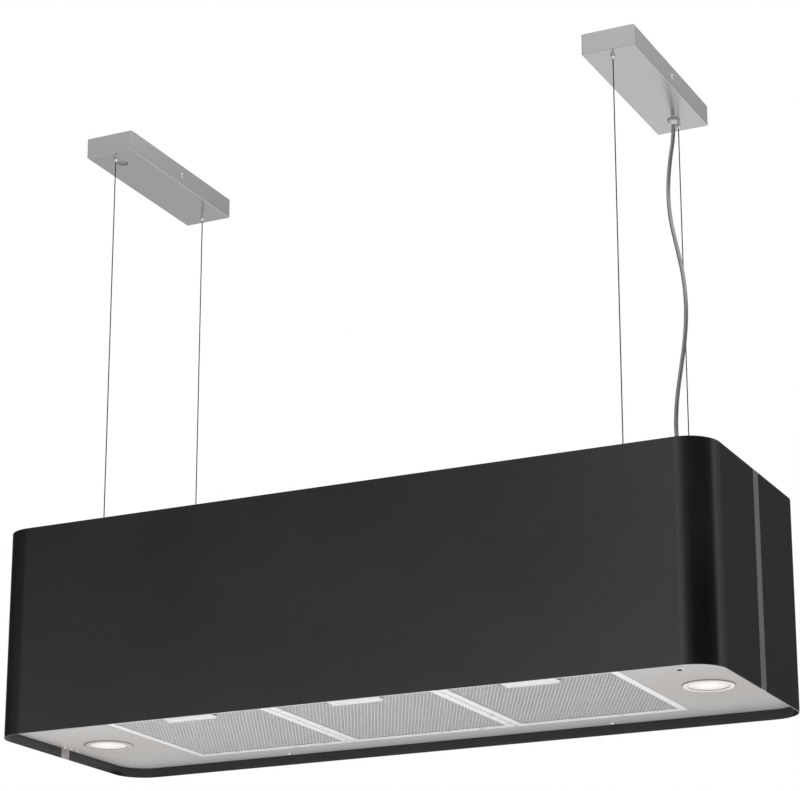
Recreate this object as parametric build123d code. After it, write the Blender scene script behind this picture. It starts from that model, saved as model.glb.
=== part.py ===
from build123d import *
import os
from math import acos, cos, degrees, pi, radians, sin, tan

# Island range hood that hangs from the ceiling on four wires.
# Millimetres, +Z up, origin on the ceiling midway between the two ceiling boxes.
# +X runs along the body, left is -X, and the front faces -Y.

# Body
BODY_LENGTH = 1080.0
BODY_DEPTH = 378.0
BODY_HEIGHT = 300.0
BODY_CORNER = 46.0
SHELL_SHEET = 1.5
SHELL_FLANGE = 14.0
FLANGE_CLEAR = 30.0
TRIM_WIDTH = 21.0
TRIM_SHEET = 1.5
TRIM_GAP = 0.2

# Hanging
WIRE_DROP = 583.0
WIRE_SPACING = 260.0
WIRE_DIAMETER = 1.8
WIRE_TAIL = 46.0
COVER_INSET = 138.0
COVER_WIDTH = 78.0
COVER_DEPTH = 300.0
COVER_HEIGHT = 31.0
COVER_SHEET = 1.2
COVER_CORNER = 2.5
COVER_EDGE = 1.5
COVER_GAP = 0.5
COVER_SCREW_RISE = 15.0
KNOCKOUT_DEPTH = 0.6
BRACKET_SHEET = 2.0
BRACKET_STEP = 12.0
BRACKET_FOOT = 24.0
BRACKET_BEND = 3.0
BRACKET_TAB = 28.0
MOUNT_SPACING = 100.0
MOUNT_HOLE_RADIUS = 3.25
SUPPLY_HOLE_RADIUS = 12.0
FERRULE_RADIUS = 3.2
FERRULE_HEAD_RADIUS = 5.5
FERRULE_HEAD_HEIGHT = 5.0
FERRULE_REACH = 6.0
GRIPPER_RADIUS = 6.5
GRIPPER_HEIGHT = 26.0
GRIPPER_STUD_RADIUS = 5.0
GRIPPER_NUT_FLATS = 15.0
GRIPPER_NUT_HEIGHT = 6.0
COLLAR_RADIUS = 3.5
COLLAR_RISE = 7.0
COLLAR_TRAVEL = 3.0

# Power cable and what it comes out of
CABLE_DIAMETER = 6.0
CABLE_OFFSET = 110.0
CABLE_HOLE_RADIUS = 8.0
BUSH_FLANGE_RADIUS = 9.6
BUSH_TAPER = 7.0
GLAND_RADIUS = 7.0
GLAND_FLANGE_RADIUS = 11.0
GLAND_HEIGHT = 26.0
CABLE_STRAIGHT = 14.0
TERMINAL_LENGTH = 44.0
TERMINAL_WIDTH = 26.0
TERMINAL_HEIGHT = 18.0

# Top deck and outlet grille
DECK_RECESS = 22.0
DECK_SHEET = 1.5
DECK_SKIRT = 16.0
GRILLE_SHEET = 1.5
GRILLE_BORDER = 18.0
GRILLE_CORNER = 8.0
GRILLE_SLOT = 6.0
GRILLE_PITCH = 11.0

# Underside panel and its rails
PANEL_RECESS = 14.0
PANEL_SHEET = 1.0
PANEL_SKIRT = 10.0
PANEL_BEND = 1.5
RIM_HEIGHT = 13.5
RAIL_LENGTH = 700.0
RAIL_SHEET = 1.5
RAIL_HEIGHT = 24.0
RAIL_LEG = 18.0
SCREW_X = 258.0
SCREW_RADIUS = 2.0
SCREW_HEAD_RADIUS = 3.8
SCREW_HEAD_HEIGHT = 2.0
SCREW_GRIP = 6.0

# Grease filters
FILTER_END_LANE = 151.8
FILTER_SIDE_LANE = 51.0
FILTER_HEIGHT = 9.0
FILTER_SHEET = 1.2
FILTER_BORDER = 11.0
FILTER_CORNER = 3.0
FILTER_GAP = 2.4
FILTER_WALL_GAP = 1.2
FILTER_END_GAP = 2.0
PIN_RADIUS = 1.8
PIN_HEIGHT = 4.5
PIN_INSET = 6.0
LUG_SHEET = 2.0
LUG_INSET = 4.0
LUG_BRIDGE = 4.0
LUG_HEEL = 3.0
NOTCH_CLEAR = 2.0
CROSS_BAR_HEIGHT = 10.0
CROSS_BAR_SHEET = 1.2
CROSS_BAR_BEND = 1.4
CROSS_BAR_RISE = 1.5
HANDLE_WIDTH = 78.0
HANDLE_DEPTH = 27.0
HANDLE_SHEET = 0.9
HANDLE_LIP = 2.5
LATCH_BODY = 8.5
LATCH_EAR = 4.0
LATCH_TRAVEL = 6.0
TONGUE_WIDTH = 44.0
TONGUE_CLEAR = 0.5
TONGUE_SHEET = 2.0
TONGUE_RISE = 3.5
LEAF_ROOM = 4.0
LEAF_SHEET = 0.4
LEAF_HEIGHT = 3.0
LEAF_SPAN = 60.0

# Lamps, buttons and sensor
LAMP_INSET = 76.0
LAMP_RADIUS = 36.0
LAMP_LIP = 1.6
LAMP_WINDOW_RADIUS = 27.5
LAMP_TUBE_RADIUS = 32.5
LAMP_TUBE_SHEET = 1.5
LAMP_TUBE_HEIGHT = 16.0
LENS_THICKNESS = 3.0
LAMP_BODY_HEIGHT = 30.0
LAMP_FIN_PITCH = 5.0
LAMP_FIN_DEPTH = 5.0
BUTTON_COUNT = 3
BUTTON_INSET = 14.0
BUTTON_Y = -5.0
BUTTON_PITCH = 17.0
BUTTON_RADIUS = 2.2
BUTTON_REACH = 3.4
BUTTON_TRAVEL = 2.0
BUTTON_COLLAR = 1.3
BUTTON_STEM = 6.0
SWITCH_BLOCK_LENGTH = 62.0
SENSOR_INSET = 77.0
SENSOR_Y = -108.0
SENSOR_RADIUS = 4.0
SENSOR_DOME = 2.5
SENSOR_RING = 2.4
SENSOR_HEIGHT = 6.0

# Blower
FAN_RADIUS = 80.0
FAN_WIDTH = 124.0
FAN_BLADES = 32
BLOWER_CLEAR = 10.7
FAN_SIDE_GAP = 5.0
FAN_RING = 2.5
FAN_DISC = 2.4
FAN_HUB_RADIUS = 12.0
FAN_HUB_LENGTH = 14.0
BLADE_CHORD = 14.0
BLADE_SWEEP = 9.0
BLADE_SHEET = 1.2
SCROLL_GAP = 8.0
SCROLL_GROWTH = 40.0
SCROLL_START = 70.0
CASING_SHEET = 1.2
INLET_RADIUS = 64.0
INLET_LIP = 3.0
MOTOR_RADIUS = 42.0
MOTOR_HUB_GAP = 4.2
MOTOR_BOSS_RADIUS = 14.0
MOTOR_BOSS_LENGTH = 5.0
MOTOR_END_WALL = 8.0
SHAFT_RADIUS = 4.0
SPIDER_ARMS = 3
SPIDER_ARM_WIDTH = 10.0
SPIDER_HUB_RADIUS = 26.0
CARTRIDGE_RADIUS = 74.0
CARTRIDGE_DEPTH = 34.0
CARTRIDGE_RAYS = 24
RAY_SHARE = 0.6
BAYONET_COUNT = 3
BAYONET_REACH = 6.0
BAYONET_SHEET = 2.0
BAYONET_HALF_ANGLE = 6.0

# Control box under the deck
CONTROL_LENGTH = 150.0
CONTROL_DEPTH = 110.0
CONTROL_HEIGHT = 40.0
CONTROL_CORNER = 8.0

# Clearances
FIT = 0.3
RUN = 0.06

# Levels and places that follow from the sizes above
Z_COVER = -COVER_HEIGHT
Z_TOP = Z_COVER - WIRE_DROP
Z_BOTTOM = Z_TOP - BODY_HEIGHT
Z_PANEL = Z_BOTTOM + PANEL_RECESS
Z_PANEL_TOP = Z_PANEL + PANEL_SHEET
Z_DECK = Z_TOP - DECK_RECESS
Z_DECK_UNDER = Z_DECK - DECK_SHEET
COVER_X = BODY_LENGTH / 2 - COVER_INSET
WIRE_Y = WIRE_SPACING / 2
WIRE_RADIUS = WIRE_DIAMETER / 2
WIRE_BORE = WIRE_RADIUS + FIT
CABLE_RADIUS = CABLE_DIAMETER / 2
INSIDE_LENGTH = BODY_LENGTH - 2 * (SHELL_SHEET + FIT)
INSIDE_DEPTH = BODY_DEPTH - 2 * (SHELL_SHEET + FIT)
INSIDE_CORNER = BODY_CORNER - SHELL_SHEET - FIT
SIDES = {"left": -1, "right": 1}

FILTER_NAMES = ("left", "centre", "right")
FILTER_COUNT = len(FILTER_NAMES)
OPENING_LENGTH = BODY_LENGTH - 2 * FILTER_END_LANE
FILTER_PITCH = (OPENING_LENGTH + FILTER_GAP - 2 * FILTER_WALL_GAP) / FILTER_COUNT
FILTER_WIDTH = FILTER_PITCH - FILTER_GAP
FILTER_DEPTH = BODY_DEPTH - 2 * FILTER_SIDE_LANE
FILTER_FIRST = -FILTER_PITCH * (FILTER_COUNT - 1) / 2
FILTER_X = {name: FILTER_FIRST + i * FILTER_PITCH for i, name in enumerate(FILTER_NAMES)}
OPENING_DEPTH = FILTER_DEPTH + 2 * FILTER_END_GAP
WINDOW_WIDTH = FILTER_WIDTH - 2 * FILTER_BORDER
WINDOW_DEPTH = FILTER_DEPTH - 2 * FILTER_BORDER
FILTER_FRONT = -FILTER_DEPTH / 2
Z_FILTER_TOP = Z_PANEL + FILTER_HEIGHT
Z_RIM = Z_PANEL + RIM_HEIGHT
PIN_Y = FILTER_DEPTH / 2 - PIN_INSET
PIN_Z = Z_PANEL + PIN_HEIGHT
LUG_RADIUS = PIN_HEIGHT - FILTER_SHEET - FIT
TONGUE_REACH = LATCH_TRAVEL - TONGUE_CLEAR
POCKET_DEPTH = FILTER_SHEET + FIT + LATCH_BODY + LATCH_TRAVEL + LEAF_ROOM
NOTCH_WIDTH = 2 * LUG_INSET + LUG_SHEET / 2
NOTCH_FRONT = PIN_Y - LUG_RADIUS - NOTCH_CLEAR

RAIL_Y = BODY_DEPTH / 2 - SHELL_SHEET - PANEL_SHEET - 2 * FIT
SCREW_Y = RAIL_Y - RAIL_LEG / 2

FAN_SIDE = FAN_WIDTH / 2 + FAN_SIDE_GAP
PLATE_OUT = FAN_SIDE + CASING_SHEET
SCROLL_RADIUS = FAN_RADIUS + SCROLL_GAP
FULL_TURN = 360.0


def scroll_radius(angle):
    """Radius of the blower scroll at an angle in degrees, growing from the tongue to the outlet wall."""
    return SCROLL_RADIUS + SCROLL_GROWTH * (angle - SCROLL_START) / (FULL_TURN - SCROLL_START)


SCROLL_LOWEST = scroll_radius(FULL_TURN * 3 / 4) + CASING_SHEET
FAN_DROP = Z_DECK_UNDER - Z_FILTER_TOP - BLOWER_CLEAR - SCROLL_LOWEST
FAN_Y = (scroll_radius(FULL_TURN / 2) - scroll_radius(FULL_TURN)) / 2
FAN_Z = Z_DECK_UNDER - FAN_DROP
OUTLET_FRONT = FAN_Y + SCROLL_RADIUS * cos(radians(SCROLL_START))
OUTLET_REAR = FAN_Y + scroll_radius(FULL_TURN)
OUTLET_Y = (OUTLET_FRONT + OUTLET_REAR) / 2
OUTLET_DEPTH = OUTLET_REAR - OUTLET_FRONT
OUTLET_LENGTH = 2 * FAN_SIDE

# Route of the power cable: X offset from the right ceiling box, Y offset from the cable hole, and
# share of the way down from under the bush to above the gland. In between it hangs in a loose S.
CABLE_TOP = -BRACKET_SHEET - TERMINAL_HEIGHT
CABLE_HIGH = Z_COVER - BUSH_TAPER - CABLE_STRAIGHT
CABLE_LOW = Z_DECK + GLAND_HEIGHT + CABLE_STRAIGHT
CABLE_SWAY = (
    (0.0, 0.0, 0.0),
    (-8.5, 0.8, 0.078),
    (-13.0, 1.4, 0.159),
    (-10.5, 1.0, 0.244),
    (-1.5, 0.2, 0.325),
    (7.5, -0.6, 0.41),
    (10.5, -1.0, 0.498),
    (7.0, -1.0, 0.583),
    (-1.0, -0.8, 0.668),
    (-9.0, -0.4, 0.749),
    (-12.0, 0.0, 0.834),
    (-8.0, 0.3, 0.915),
    (0.0, 0.0, 1.0),
)
CABLE_ROUTE = [(0.0, 0.0, CABLE_TOP)]
CABLE_ROUTE += [(x, y, CABLE_HIGH + share * (CABLE_LOW - CABLE_HIGH)) for x, y, share in CABLE_SWAY]
CABLE_ROUTE += [(0.0, 0.0, Z_DECK_UNDER)]
ARC_SHARE = 0.45

parts = {}


def block(x, y, z):
    """Box between two X, two Y and two Z values."""
    size = [abs(pair[1] - pair[0]) for pair in (x, y, z)]
    middle = [(pair[0] + pair[1]) / 2 for pair in (x, y, z)]
    return Pos(*middle) * Box(*size)


def plate(sketch, z, thickness):
    """Flat plate of a plan sketch with its lower face at z."""
    return extrude(Pos(0, 0, z) * sketch, amount=thickness)


def turned(points, x=0.0, y=0.0):
    """Solid turned about a vertical axis from (radius, height) points."""
    profile = make_face(Plane.XZ * Polyline(*points, close=True))
    return Pos(x, y, 0) * revolve(profile, Axis.Z)


def spun(points):
    """Solid turned about the fan axis from (X, radius) points."""
    profile = make_face(Polyline(*points, close=True))
    return Pos(0, FAN_Y, FAN_Z) * revolve(profile, Axis.X)


def folded(points, sheet, side, bend=0.0):
    """Section of a folded sheet: one face follows the points and the other lies to the given side."""
    path = FilletPolyline(*points, radius=bend) if bend else Polyline(*points)
    return make_face(offset(path, amount=sheet, side=side, kind=Kind.INTERSECTION))


def along_x(section, half_length):
    """Extrude a section drawn in Y and Z to both sides of X = 0."""
    return extrude(Plane.YZ * section, amount=half_length, both=True)


def in_fan_plane(sketch, x, thickness):
    """Extrude a sketch drawn about the fan axis, from x by a thickness."""
    return extrude(Plane((x, FAN_Y, FAN_Z), x_dir=(0, 1, 0), z_dir=(1, 0, 0)) * sketch, amount=thickness)


def cylinder_x(radius, x, y, z):
    """Round bar along X between two X values."""
    return Pos((x[0] + x[1]) / 2, y, z) * Rot(0, 90, 0) * Cylinder(radius, abs(x[1] - x[0]))


def group(solids):
    """Identical pieces kept together as separate solids."""
    return Compound([piece.solid() for piece in solids])


def inside_outline(inset=0.0):
    """Plan of what fits inside the body shells."""
    return RectangleRounded(INSIDE_LENGTH - 2 * inset, INSIDE_DEPTH - 2 * inset, INSIDE_CORNER - inset)


# Body shells and end trims

def flange_levels():
    """Height span of the joining flanges, clear of the panel below and the deck above."""
    return Z_PANEL + PANEL_SKIRT + FLANGE_CLEAR, Z_DECK - DECK_SKIRT - FLANGE_CLEAR


def body_shell():
    """Front half of the body: one bent sheet with an inward flange at each end."""
    outer = RectangleRounded(BODY_LENGTH, BODY_DEPTH, BODY_CORNER)
    inner = offset(outer, amount=-SHELL_SHEET)
    half = Pos(0, -(TRIM_WIDTH + BODY_DEPTH) / 2) * Rectangle(2 * BODY_LENGTH, BODY_DEPTH)
    shell = plate((outer - inner) & half, Z_BOTTOM, BODY_HEIGHT)
    edge = -TRIM_WIDTH / 2
    for side in SIDES.values():
        end = side * BODY_LENGTH / 2
        shell += block((end - side * SHELL_FLANGE, end), (edge - SHELL_SHEET, edge), flange_levels())
    return shell


def end_trim(side):
    """Bright strip that joins the two shells at one end, with two legs against their flanges."""
    end = side * BODY_LENGTH / 2
    half = TRIM_WIDTH / 2 - TRIM_GAP
    trim = block((end - side * TRIM_SHEET, end), (-half, half), (Z_BOTTOM, Z_TOP))
    for leg in (-1, 1):
        span = (leg * (half - TRIM_SHEET), leg * half)
        trim += block((end - side * SHELL_FLANGE, end), span, flange_levels())
    return trim


parts["front_shell"] = body_shell()
parts["rear_shell"] = mirror(parts["front_shell"], about=Plane.XZ)
for name, side in SIDES.items():
    parts[f"end_trim_{name}"] = end_trim(side)


# Top deck and outlet grille

GRILLE_SCREW_X = OUTLET_LENGTH / 2 + GRILLE_BORDER / 2
GRILLE_SCREW_Y = OUTLET_DEPTH / 2 + GRILLE_BORDER / 2
WIRE_PLACES = [(x * COVER_X, y * WIRE_Y) for x in (-1, 1) for y in (-1, 1)]


def top_deck():
    """Deck that carries the blower and hangs on the wires, folded down all round."""
    deck = plate(inside_outline(), Z_DECK - DECK_SKIRT, DECK_SKIRT)
    deck -= plate(inside_outline(DECK_SHEET), Z_DECK - DECK_SKIRT, DECK_SKIRT - DECK_SHEET)
    cuts = Pos(0, OUTLET_Y) * Rectangle(OUTLET_LENGTH, OUTLET_DEPTH)
    cuts += Pos(COVER_X, CABLE_OFFSET) * Circle(GLAND_RADIUS + FIT)
    for x, y in WIRE_PLACES:
        cuts += Pos(x, y) * Circle(GRIPPER_STUD_RADIUS + FIT)
    for place in GridLocations(2 * GRILLE_SCREW_X, 2 * GRILLE_SCREW_Y, 2, 2):
        cuts += Pos(0, OUTLET_Y) * place * Circle(SCREW_RADIUS + RUN)
    return deck - plate(cuts, Z_DECK_UNDER, DECK_SHEET)


def outlet_grille():
    """Slotted plate over the air outlet."""
    length = OUTLET_LENGTH + 2 * GRILLE_BORDER
    depth = OUTLET_DEPTH + 2 * GRILLE_BORDER
    outline = RectangleRounded(length, depth, GRILLE_CORNER)
    count = int((OUTLET_LENGTH - GRILLE_PITCH) // GRILLE_PITCH)
    for place in GridLocations(GRILLE_PITCH, 0, count, 1):
        outline -= place * Rot(0, 0, 90) * SlotOverall(OUTLET_DEPTH - GRILLE_SLOT, GRILLE_SLOT)
    for place in GridLocations(2 * GRILLE_SCREW_X, 2 * GRILLE_SCREW_Y, 2, 2):
        outline -= place * Circle(SCREW_RADIUS + RUN)
    return Pos(0, OUTLET_Y) * plate(outline, Z_DECK, GRILLE_SHEET)


parts["top_deck"] = top_deck()
parts["outlet_grille"] = outlet_grille()


# Underside panel, rails and screws

LAMP_X = BODY_LENGTH / 2 - LAMP_INSET
SENSOR_X = BODY_LENGTH / 2 - SENSOR_INSET
BUTTON_X = BUTTON_INSET - BODY_LENGTH / 2
BUTTON_PLACES = [BUTTON_Y + (i - (BUTTON_COUNT - 1) / 2) * BUTTON_PITCH for i in range(BUTTON_COUNT)]
PANEL_SCREWS = [(x * SCREW_X, y * SCREW_Y) for x in (-1, 1) for y in (-1, 1)]
TONGUE_Z = Z_PANEL + TONGUE_RISE


def underside_panel():
    """Recessed panel with a turned-up skirt, and a turned-up rim round the filter opening."""
    opening = Rectangle(OPENING_LENGTH, OPENING_DEPTH)
    rim = Rectangle(OPENING_LENGTH + 2 * PANEL_SHEET, OPENING_DEPTH + 2 * PANEL_SHEET) - opening
    panel = plate(inside_outline(), Z_PANEL, PANEL_SKIRT)
    bottom = panel.faces().sort_by(Axis.Z)[0]
    panel = fillet(bottom.outer_wire().edges(), PANEL_BEND)
    panel -= plate(inside_outline(PANEL_SHEET), Z_PANEL_TOP, PANEL_SKIRT)
    panel += plate(rim, Z_PANEL, RIM_HEIGHT)
    cuts = opening
    for side in SIDES.values():
        cuts += Pos(side * LAMP_X, 0) * Circle(LAMP_TUBE_RADIUS + FIT)
    for y in BUTTON_PLACES:
        cuts += Pos(BUTTON_X, y) * Circle(BUTTON_RADIUS + FIT)
    cuts += Pos(SENSOR_X, SENSOR_Y) * Circle(SENSOR_RADIUS + SENSOR_RING / 2 + FIT)
    for x, y in PANEL_SCREWS:
        cuts += Pos(x, y) * Circle(SCREW_RADIUS + RUN)
    panel -= plate(cuts, Z_PANEL, PANEL_SHEET)
    for x in FILTER_X.values():
        half = TONGUE_WIDTH / 2 + 2 * FIT
        wall = (-OPENING_DEPTH / 2 - 2 * PANEL_SHEET, -OPENING_DEPTH / 2)
        height = (TONGUE_Z - 2 * FIT, TONGUE_Z + TONGUE_SHEET + 2 * FIT)
        panel -= block((x - half, x + half), wall, height)
    return panel


def panel_rail():
    """Rear rail: joggled angle on the shell's inner face that the panel is screwed to."""
    wall = BODY_DEPTH / 2 - SHELL_SHEET
    step = Z_PANEL + PANEL_SKIRT + FIT
    points = (
        (wall, step + RAIL_HEIGHT),
        (wall, step),
        (RAIL_Y, step),
        (RAIL_Y, Z_PANEL_TOP),
        (RAIL_Y - RAIL_LEG, Z_PANEL_TOP),
    )
    rail = along_x(folded(points, RAIL_SHEET, Side.RIGHT), RAIL_LENGTH / 2)
    for side in SIDES.values():
        rail -= Pos(side * SCREW_X, SCREW_Y, Z_PANEL_TOP) * Cylinder(SCREW_RADIUS + RUN, 4 * RAIL_SHEET)
    return rail


def screw(reach):
    """Pan head screw with its seat at the origin, the head below and the shank above."""
    dome = SCREW_HEAD_HEIGHT / 2
    head = turned([
        (0, -SCREW_HEAD_HEIGHT),
        (SCREW_HEAD_RADIUS - dome, -SCREW_HEAD_HEIGHT),
        (SCREW_HEAD_RADIUS, -dome),
        (SCREW_HEAD_RADIUS, 0),
        (SCREW_RADIUS, 0),
        (SCREW_RADIUS, reach),
        (0, reach),
    ])
    return head


parts["underside_panel"] = underside_panel()
parts["panel_rail_rear"] = panel_rail()
parts["panel_rail_front"] = mirror(parts["panel_rail_rear"], about=Plane.XZ)
panel_screw = screw(PANEL_SHEET + RAIL_SHEET + SCREW_GRIP)
grille_screw = Rot(180, 0, 0) * screw(GRILLE_SHEET + DECK_SHEET + SCREW_GRIP)
parts["body_screws"] = group(
    [Pos(x, y, Z_PANEL) * panel_screw for x, y in PANEL_SCREWS]
    + [Pos(x * GRILLE_SCREW_X, OUTLET_Y + y * GRILLE_SCREW_Y, Z_DECK + GRILLE_SHEET) * grille_screw
       for x in (-1, 1) for y in (-1, 1)]
)


# Filter cross bars and hinge lugs

def cross_bar():
    """Channel that lies on the opening's rim over the gap between two filters."""
    half = FILTER_GAP / 2 + LUG_INSET - LUG_SHEET / 2 - 2 * FIT
    points = ((-half, CROSS_BAR_HEIGHT), (-half, 0), (half, 0), (half, CROSS_BAR_HEIGHT))
    section = folded(points, CROSS_BAR_SHEET, Side.LEFT, CROSS_BAR_BEND)
    bar = extrude(Plane.XZ * section, amount=OPENING_DEPTH / 2 + PANEL_SHEET, both=True)
    return Pos(0, 0, Z_RIM) * bar


def gap_strip():
    """Strip on edge under a cross bar that fills the gap between two filters but for a hairline."""
    half = CROSS_BAR_SHEET / 2
    reach = OPENING_DEPTH / 2 - FIT
    return block((-half, half), (-reach, reach), (Z_PANEL + CROSS_BAR_RISE, Z_RIM))


def hinge_lug():
    """Flat hook that straddles the rear rim and holds one filter pin in its hole."""
    rim = OPENING_DEPTH / 2
    heel = (rim + PANEL_SHEET + FIT / 2, rim + PANEL_SHEET + FIT / 2 + LUG_HEEL)
    top = Z_RIM + LUG_BRIDGE
    front = PIN_Y - LUG_RADIUS
    section = Pos(PIN_Y, PIN_Z) * Circle(LUG_RADIUS)
    section += Pos(PIN_Y, (PIN_Z + top) / 2) * Rectangle(2 * LUG_RADIUS, top - PIN_Z)
    bridge = Rectangle(heel[1] - front, LUG_BRIDGE)
    section += Pos((front + heel[1]) / 2, Z_RIM + LUG_BRIDGE / 2) * bridge
    section += Pos(sum(heel) / 2, (Z_PANEL_TOP + top) / 2) * Rectangle(LUG_HEEL, top - Z_PANEL_TOP)
    section -= Pos(PIN_Y, PIN_Z) * Circle(PIN_RADIUS + RUN)
    return along_x(section, LUG_SHEET / 2)


bar = cross_bar()
strip = gap_strip()
lug = hinge_lug()
parts["filter_cross_bars"] = group(
    [Pos(side * FILTER_PITCH / 2, 0, 0) * piece for side in SIDES.values() for piece in (bar, strip)]
)
parts["filter_hinge_lugs"] = group(
    [Pos(x + side * (FILTER_WIDTH / 2 - LUG_INSET), 0, 0) * lug
     for x in FILTER_X.values() for side in SIDES.values()]
)


# Grease filters, drawn about X = 0 and moved to their places

def notched_outline():
    """Plan of a filter with its two rear corners cut away for the hinge lugs."""
    outline = RectangleRounded(FILTER_WIDTH, FILTER_DEPTH, FILTER_CORNER)
    for side in SIDES.values():
        middle = side * (FILTER_WIDTH - NOTCH_WIDTH) / 2
        cut = Rectangle(NOTCH_WIDTH, FILTER_DEPTH - NOTCH_FRONT)
        outline -= Pos(middle, NOTCH_FRONT + (FILTER_DEPTH - NOTCH_FRONT) / 2) * cut
    return outline


def filter_frame():
    """Channel frame with hinge pins at the rear and the latch pocket at the front."""
    full = RectangleRounded(FILTER_WIDTH, FILTER_DEPTH, FILTER_CORNER)
    notched = notched_outline()
    window = Rectangle(WINDOW_WIDTH, WINDOW_DEPTH)
    wall = notched - offset(notched, amount=-FILTER_SHEET, kind=Kind.INTERSECTION)
    frame = plate(wall, Z_PANEL, FILTER_HEIGHT)
    frame += plate(full - window, Z_PANEL, FILTER_SHEET)
    frame += plate(notched - window, Z_FILTER_TOP - FILTER_SHEET, FILTER_SHEET)
    for side in SIDES.values():
        root = side * (FILTER_WIDTH / 2 - NOTCH_WIDTH - FILTER_SHEET / 2)
        tip = side * (FILTER_WIDTH / 2 - LUG_INSET + LUG_SHEET)
        frame += cylinder_x(PIN_RADIUS, (root, tip), PIN_Y, PIN_Z)
    half = HANDLE_WIDTH / 2 - 2 * FIT
    back = FILTER_FRONT + POCKET_DEPTH
    roof = (FILTER_FRONT + FILTER_BORDER - FILTER_SHEET, back + FILTER_SHEET)
    frame += block((-half, half), roof, (Z_FILTER_TOP - FILTER_SHEET, Z_FILTER_TOP))
    stop = (back, back + FILTER_SHEET)
    frame += block((-half, half), stop, (Z_PANEL + FILTER_SHEET + FIT, Z_FILTER_TOP))
    way = HANDLE_WIDTH / 2 + FIT
    mouth = (FILTER_FRONT + FILTER_SHEET, FILTER_FRONT + FILTER_BORDER)
    frame -= block((-way, way), mouth, (Z_PANEL, Z_PANEL + FILTER_SHEET))
    slot = TONGUE_WIDTH / 2 + FIT
    height = (TONGUE_Z - FIT, TONGUE_Z + TONGUE_SHEET + FIT)
    frame -= block((-slot, slot), (FILTER_FRONT, FILTER_FRONT + FILTER_SHEET), height)
    return frame


def filter_mesh():
    """Pack of wire mesh that fills the frame, cut back round the latch."""
    pack = offset(notched_outline(), amount=-(FILTER_SHEET + FIT), kind=Kind.INTERSECTION)
    ears = HANDLE_WIDTH / 2 + LATCH_EAR + 2 * FIT
    body = HANDLE_WIDTH / 2 - FIT
    depth = FILTER_SHEET + LATCH_EAR + LATCH_TRAVEL + 2 * FIT
    pack -= Pos(0, FILTER_FRONT + depth / 2) * Rectangle(2 * ears, depth)
    depth = POCKET_DEPTH + FILTER_SHEET + FIT
    pack -= Pos(0, FILTER_FRONT + depth / 2) * Rectangle(2 * body, depth)
    return plate(pack, Z_PANEL + FILTER_SHEET, FILTER_HEIGHT - 2 * FILTER_SHEET - FIT)


def filter_latch():
    """Sliding pull: a flat handle with a finger lip, a guided body and a tongue."""
    start = FILTER_FRONT + FILTER_SHEET + FIT
    end = FILTER_FRONT + HANDLE_DEPTH
    top = Z_FILTER_TOP - FILTER_SHEET - FIT
    floor = Z_PANEL + HANDLE_SHEET
    lip = ((start, Z_PANEL), (end, Z_PANEL), (end, Z_PANEL - HANDLE_LIP))
    latch = along_x(folded(lip, HANDLE_SHEET, Side.LEFT), HANDLE_WIDTH / 2)
    half = HANDLE_WIDTH / 2 - 4 * FIT - FILTER_SHEET
    latch += block((-half, half), (start, start + LATCH_BODY), (floor - HANDLE_SHEET / 2, top))
    ears = HANDLE_WIDTH / 2 + LATCH_EAR
    latch += block((-ears, ears), (start, start + LATCH_EAR - FIT), (Z_PANEL + FILTER_SHEET + FIT, top))
    tongue = (FILTER_FRONT - TONGUE_REACH, start + LATCH_BODY / 2)
    latch += block((-TONGUE_WIDTH / 2, TONGUE_WIDTH / 2), tongue, (TONGUE_Z, TONGUE_Z + TONGUE_SHEET))
    return latch


def latch_spring():
    """Bowed leaf between the latch body and the back of its pocket."""
    front = FILTER_FRONT + FILTER_SHEET + FIT + LATCH_BODY + FIT / 2
    back = FILTER_FRONT + POCKET_DEPTH - FIT / 2 - LEAF_SHEET
    bow = ThreePointArc((-LEAF_SPAN / 2, back), (0, front), (LEAF_SPAN / 2, back))
    leaf = make_face(offset(bow, amount=LEAF_SHEET, side=Side.LEFT))
    middle = (Z_PANEL + FILTER_SHEET + Z_FILTER_TOP - FILTER_SHEET) / 2
    return plate(leaf, middle - LEAF_HEIGHT / 2, LEAF_HEIGHT)


filter_pieces = {
    "filter_frame": filter_frame(),
    "filter_mesh": filter_mesh(),
    "filter_latch": filter_latch(),
    "latch_spring": latch_spring(),
}
for name, x in FILTER_X.items():
    for piece, shape in filter_pieces.items():
        parts[f"{piece}_{name}"] = Pos(x, 0, 0) * shape


# Lamps

LENS_SEAT = Z_PANEL - LAMP_LIP / 4
LENS_RADIUS = LAMP_TUBE_RADIUS - LAMP_TUBE_SHEET - FIT


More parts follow.
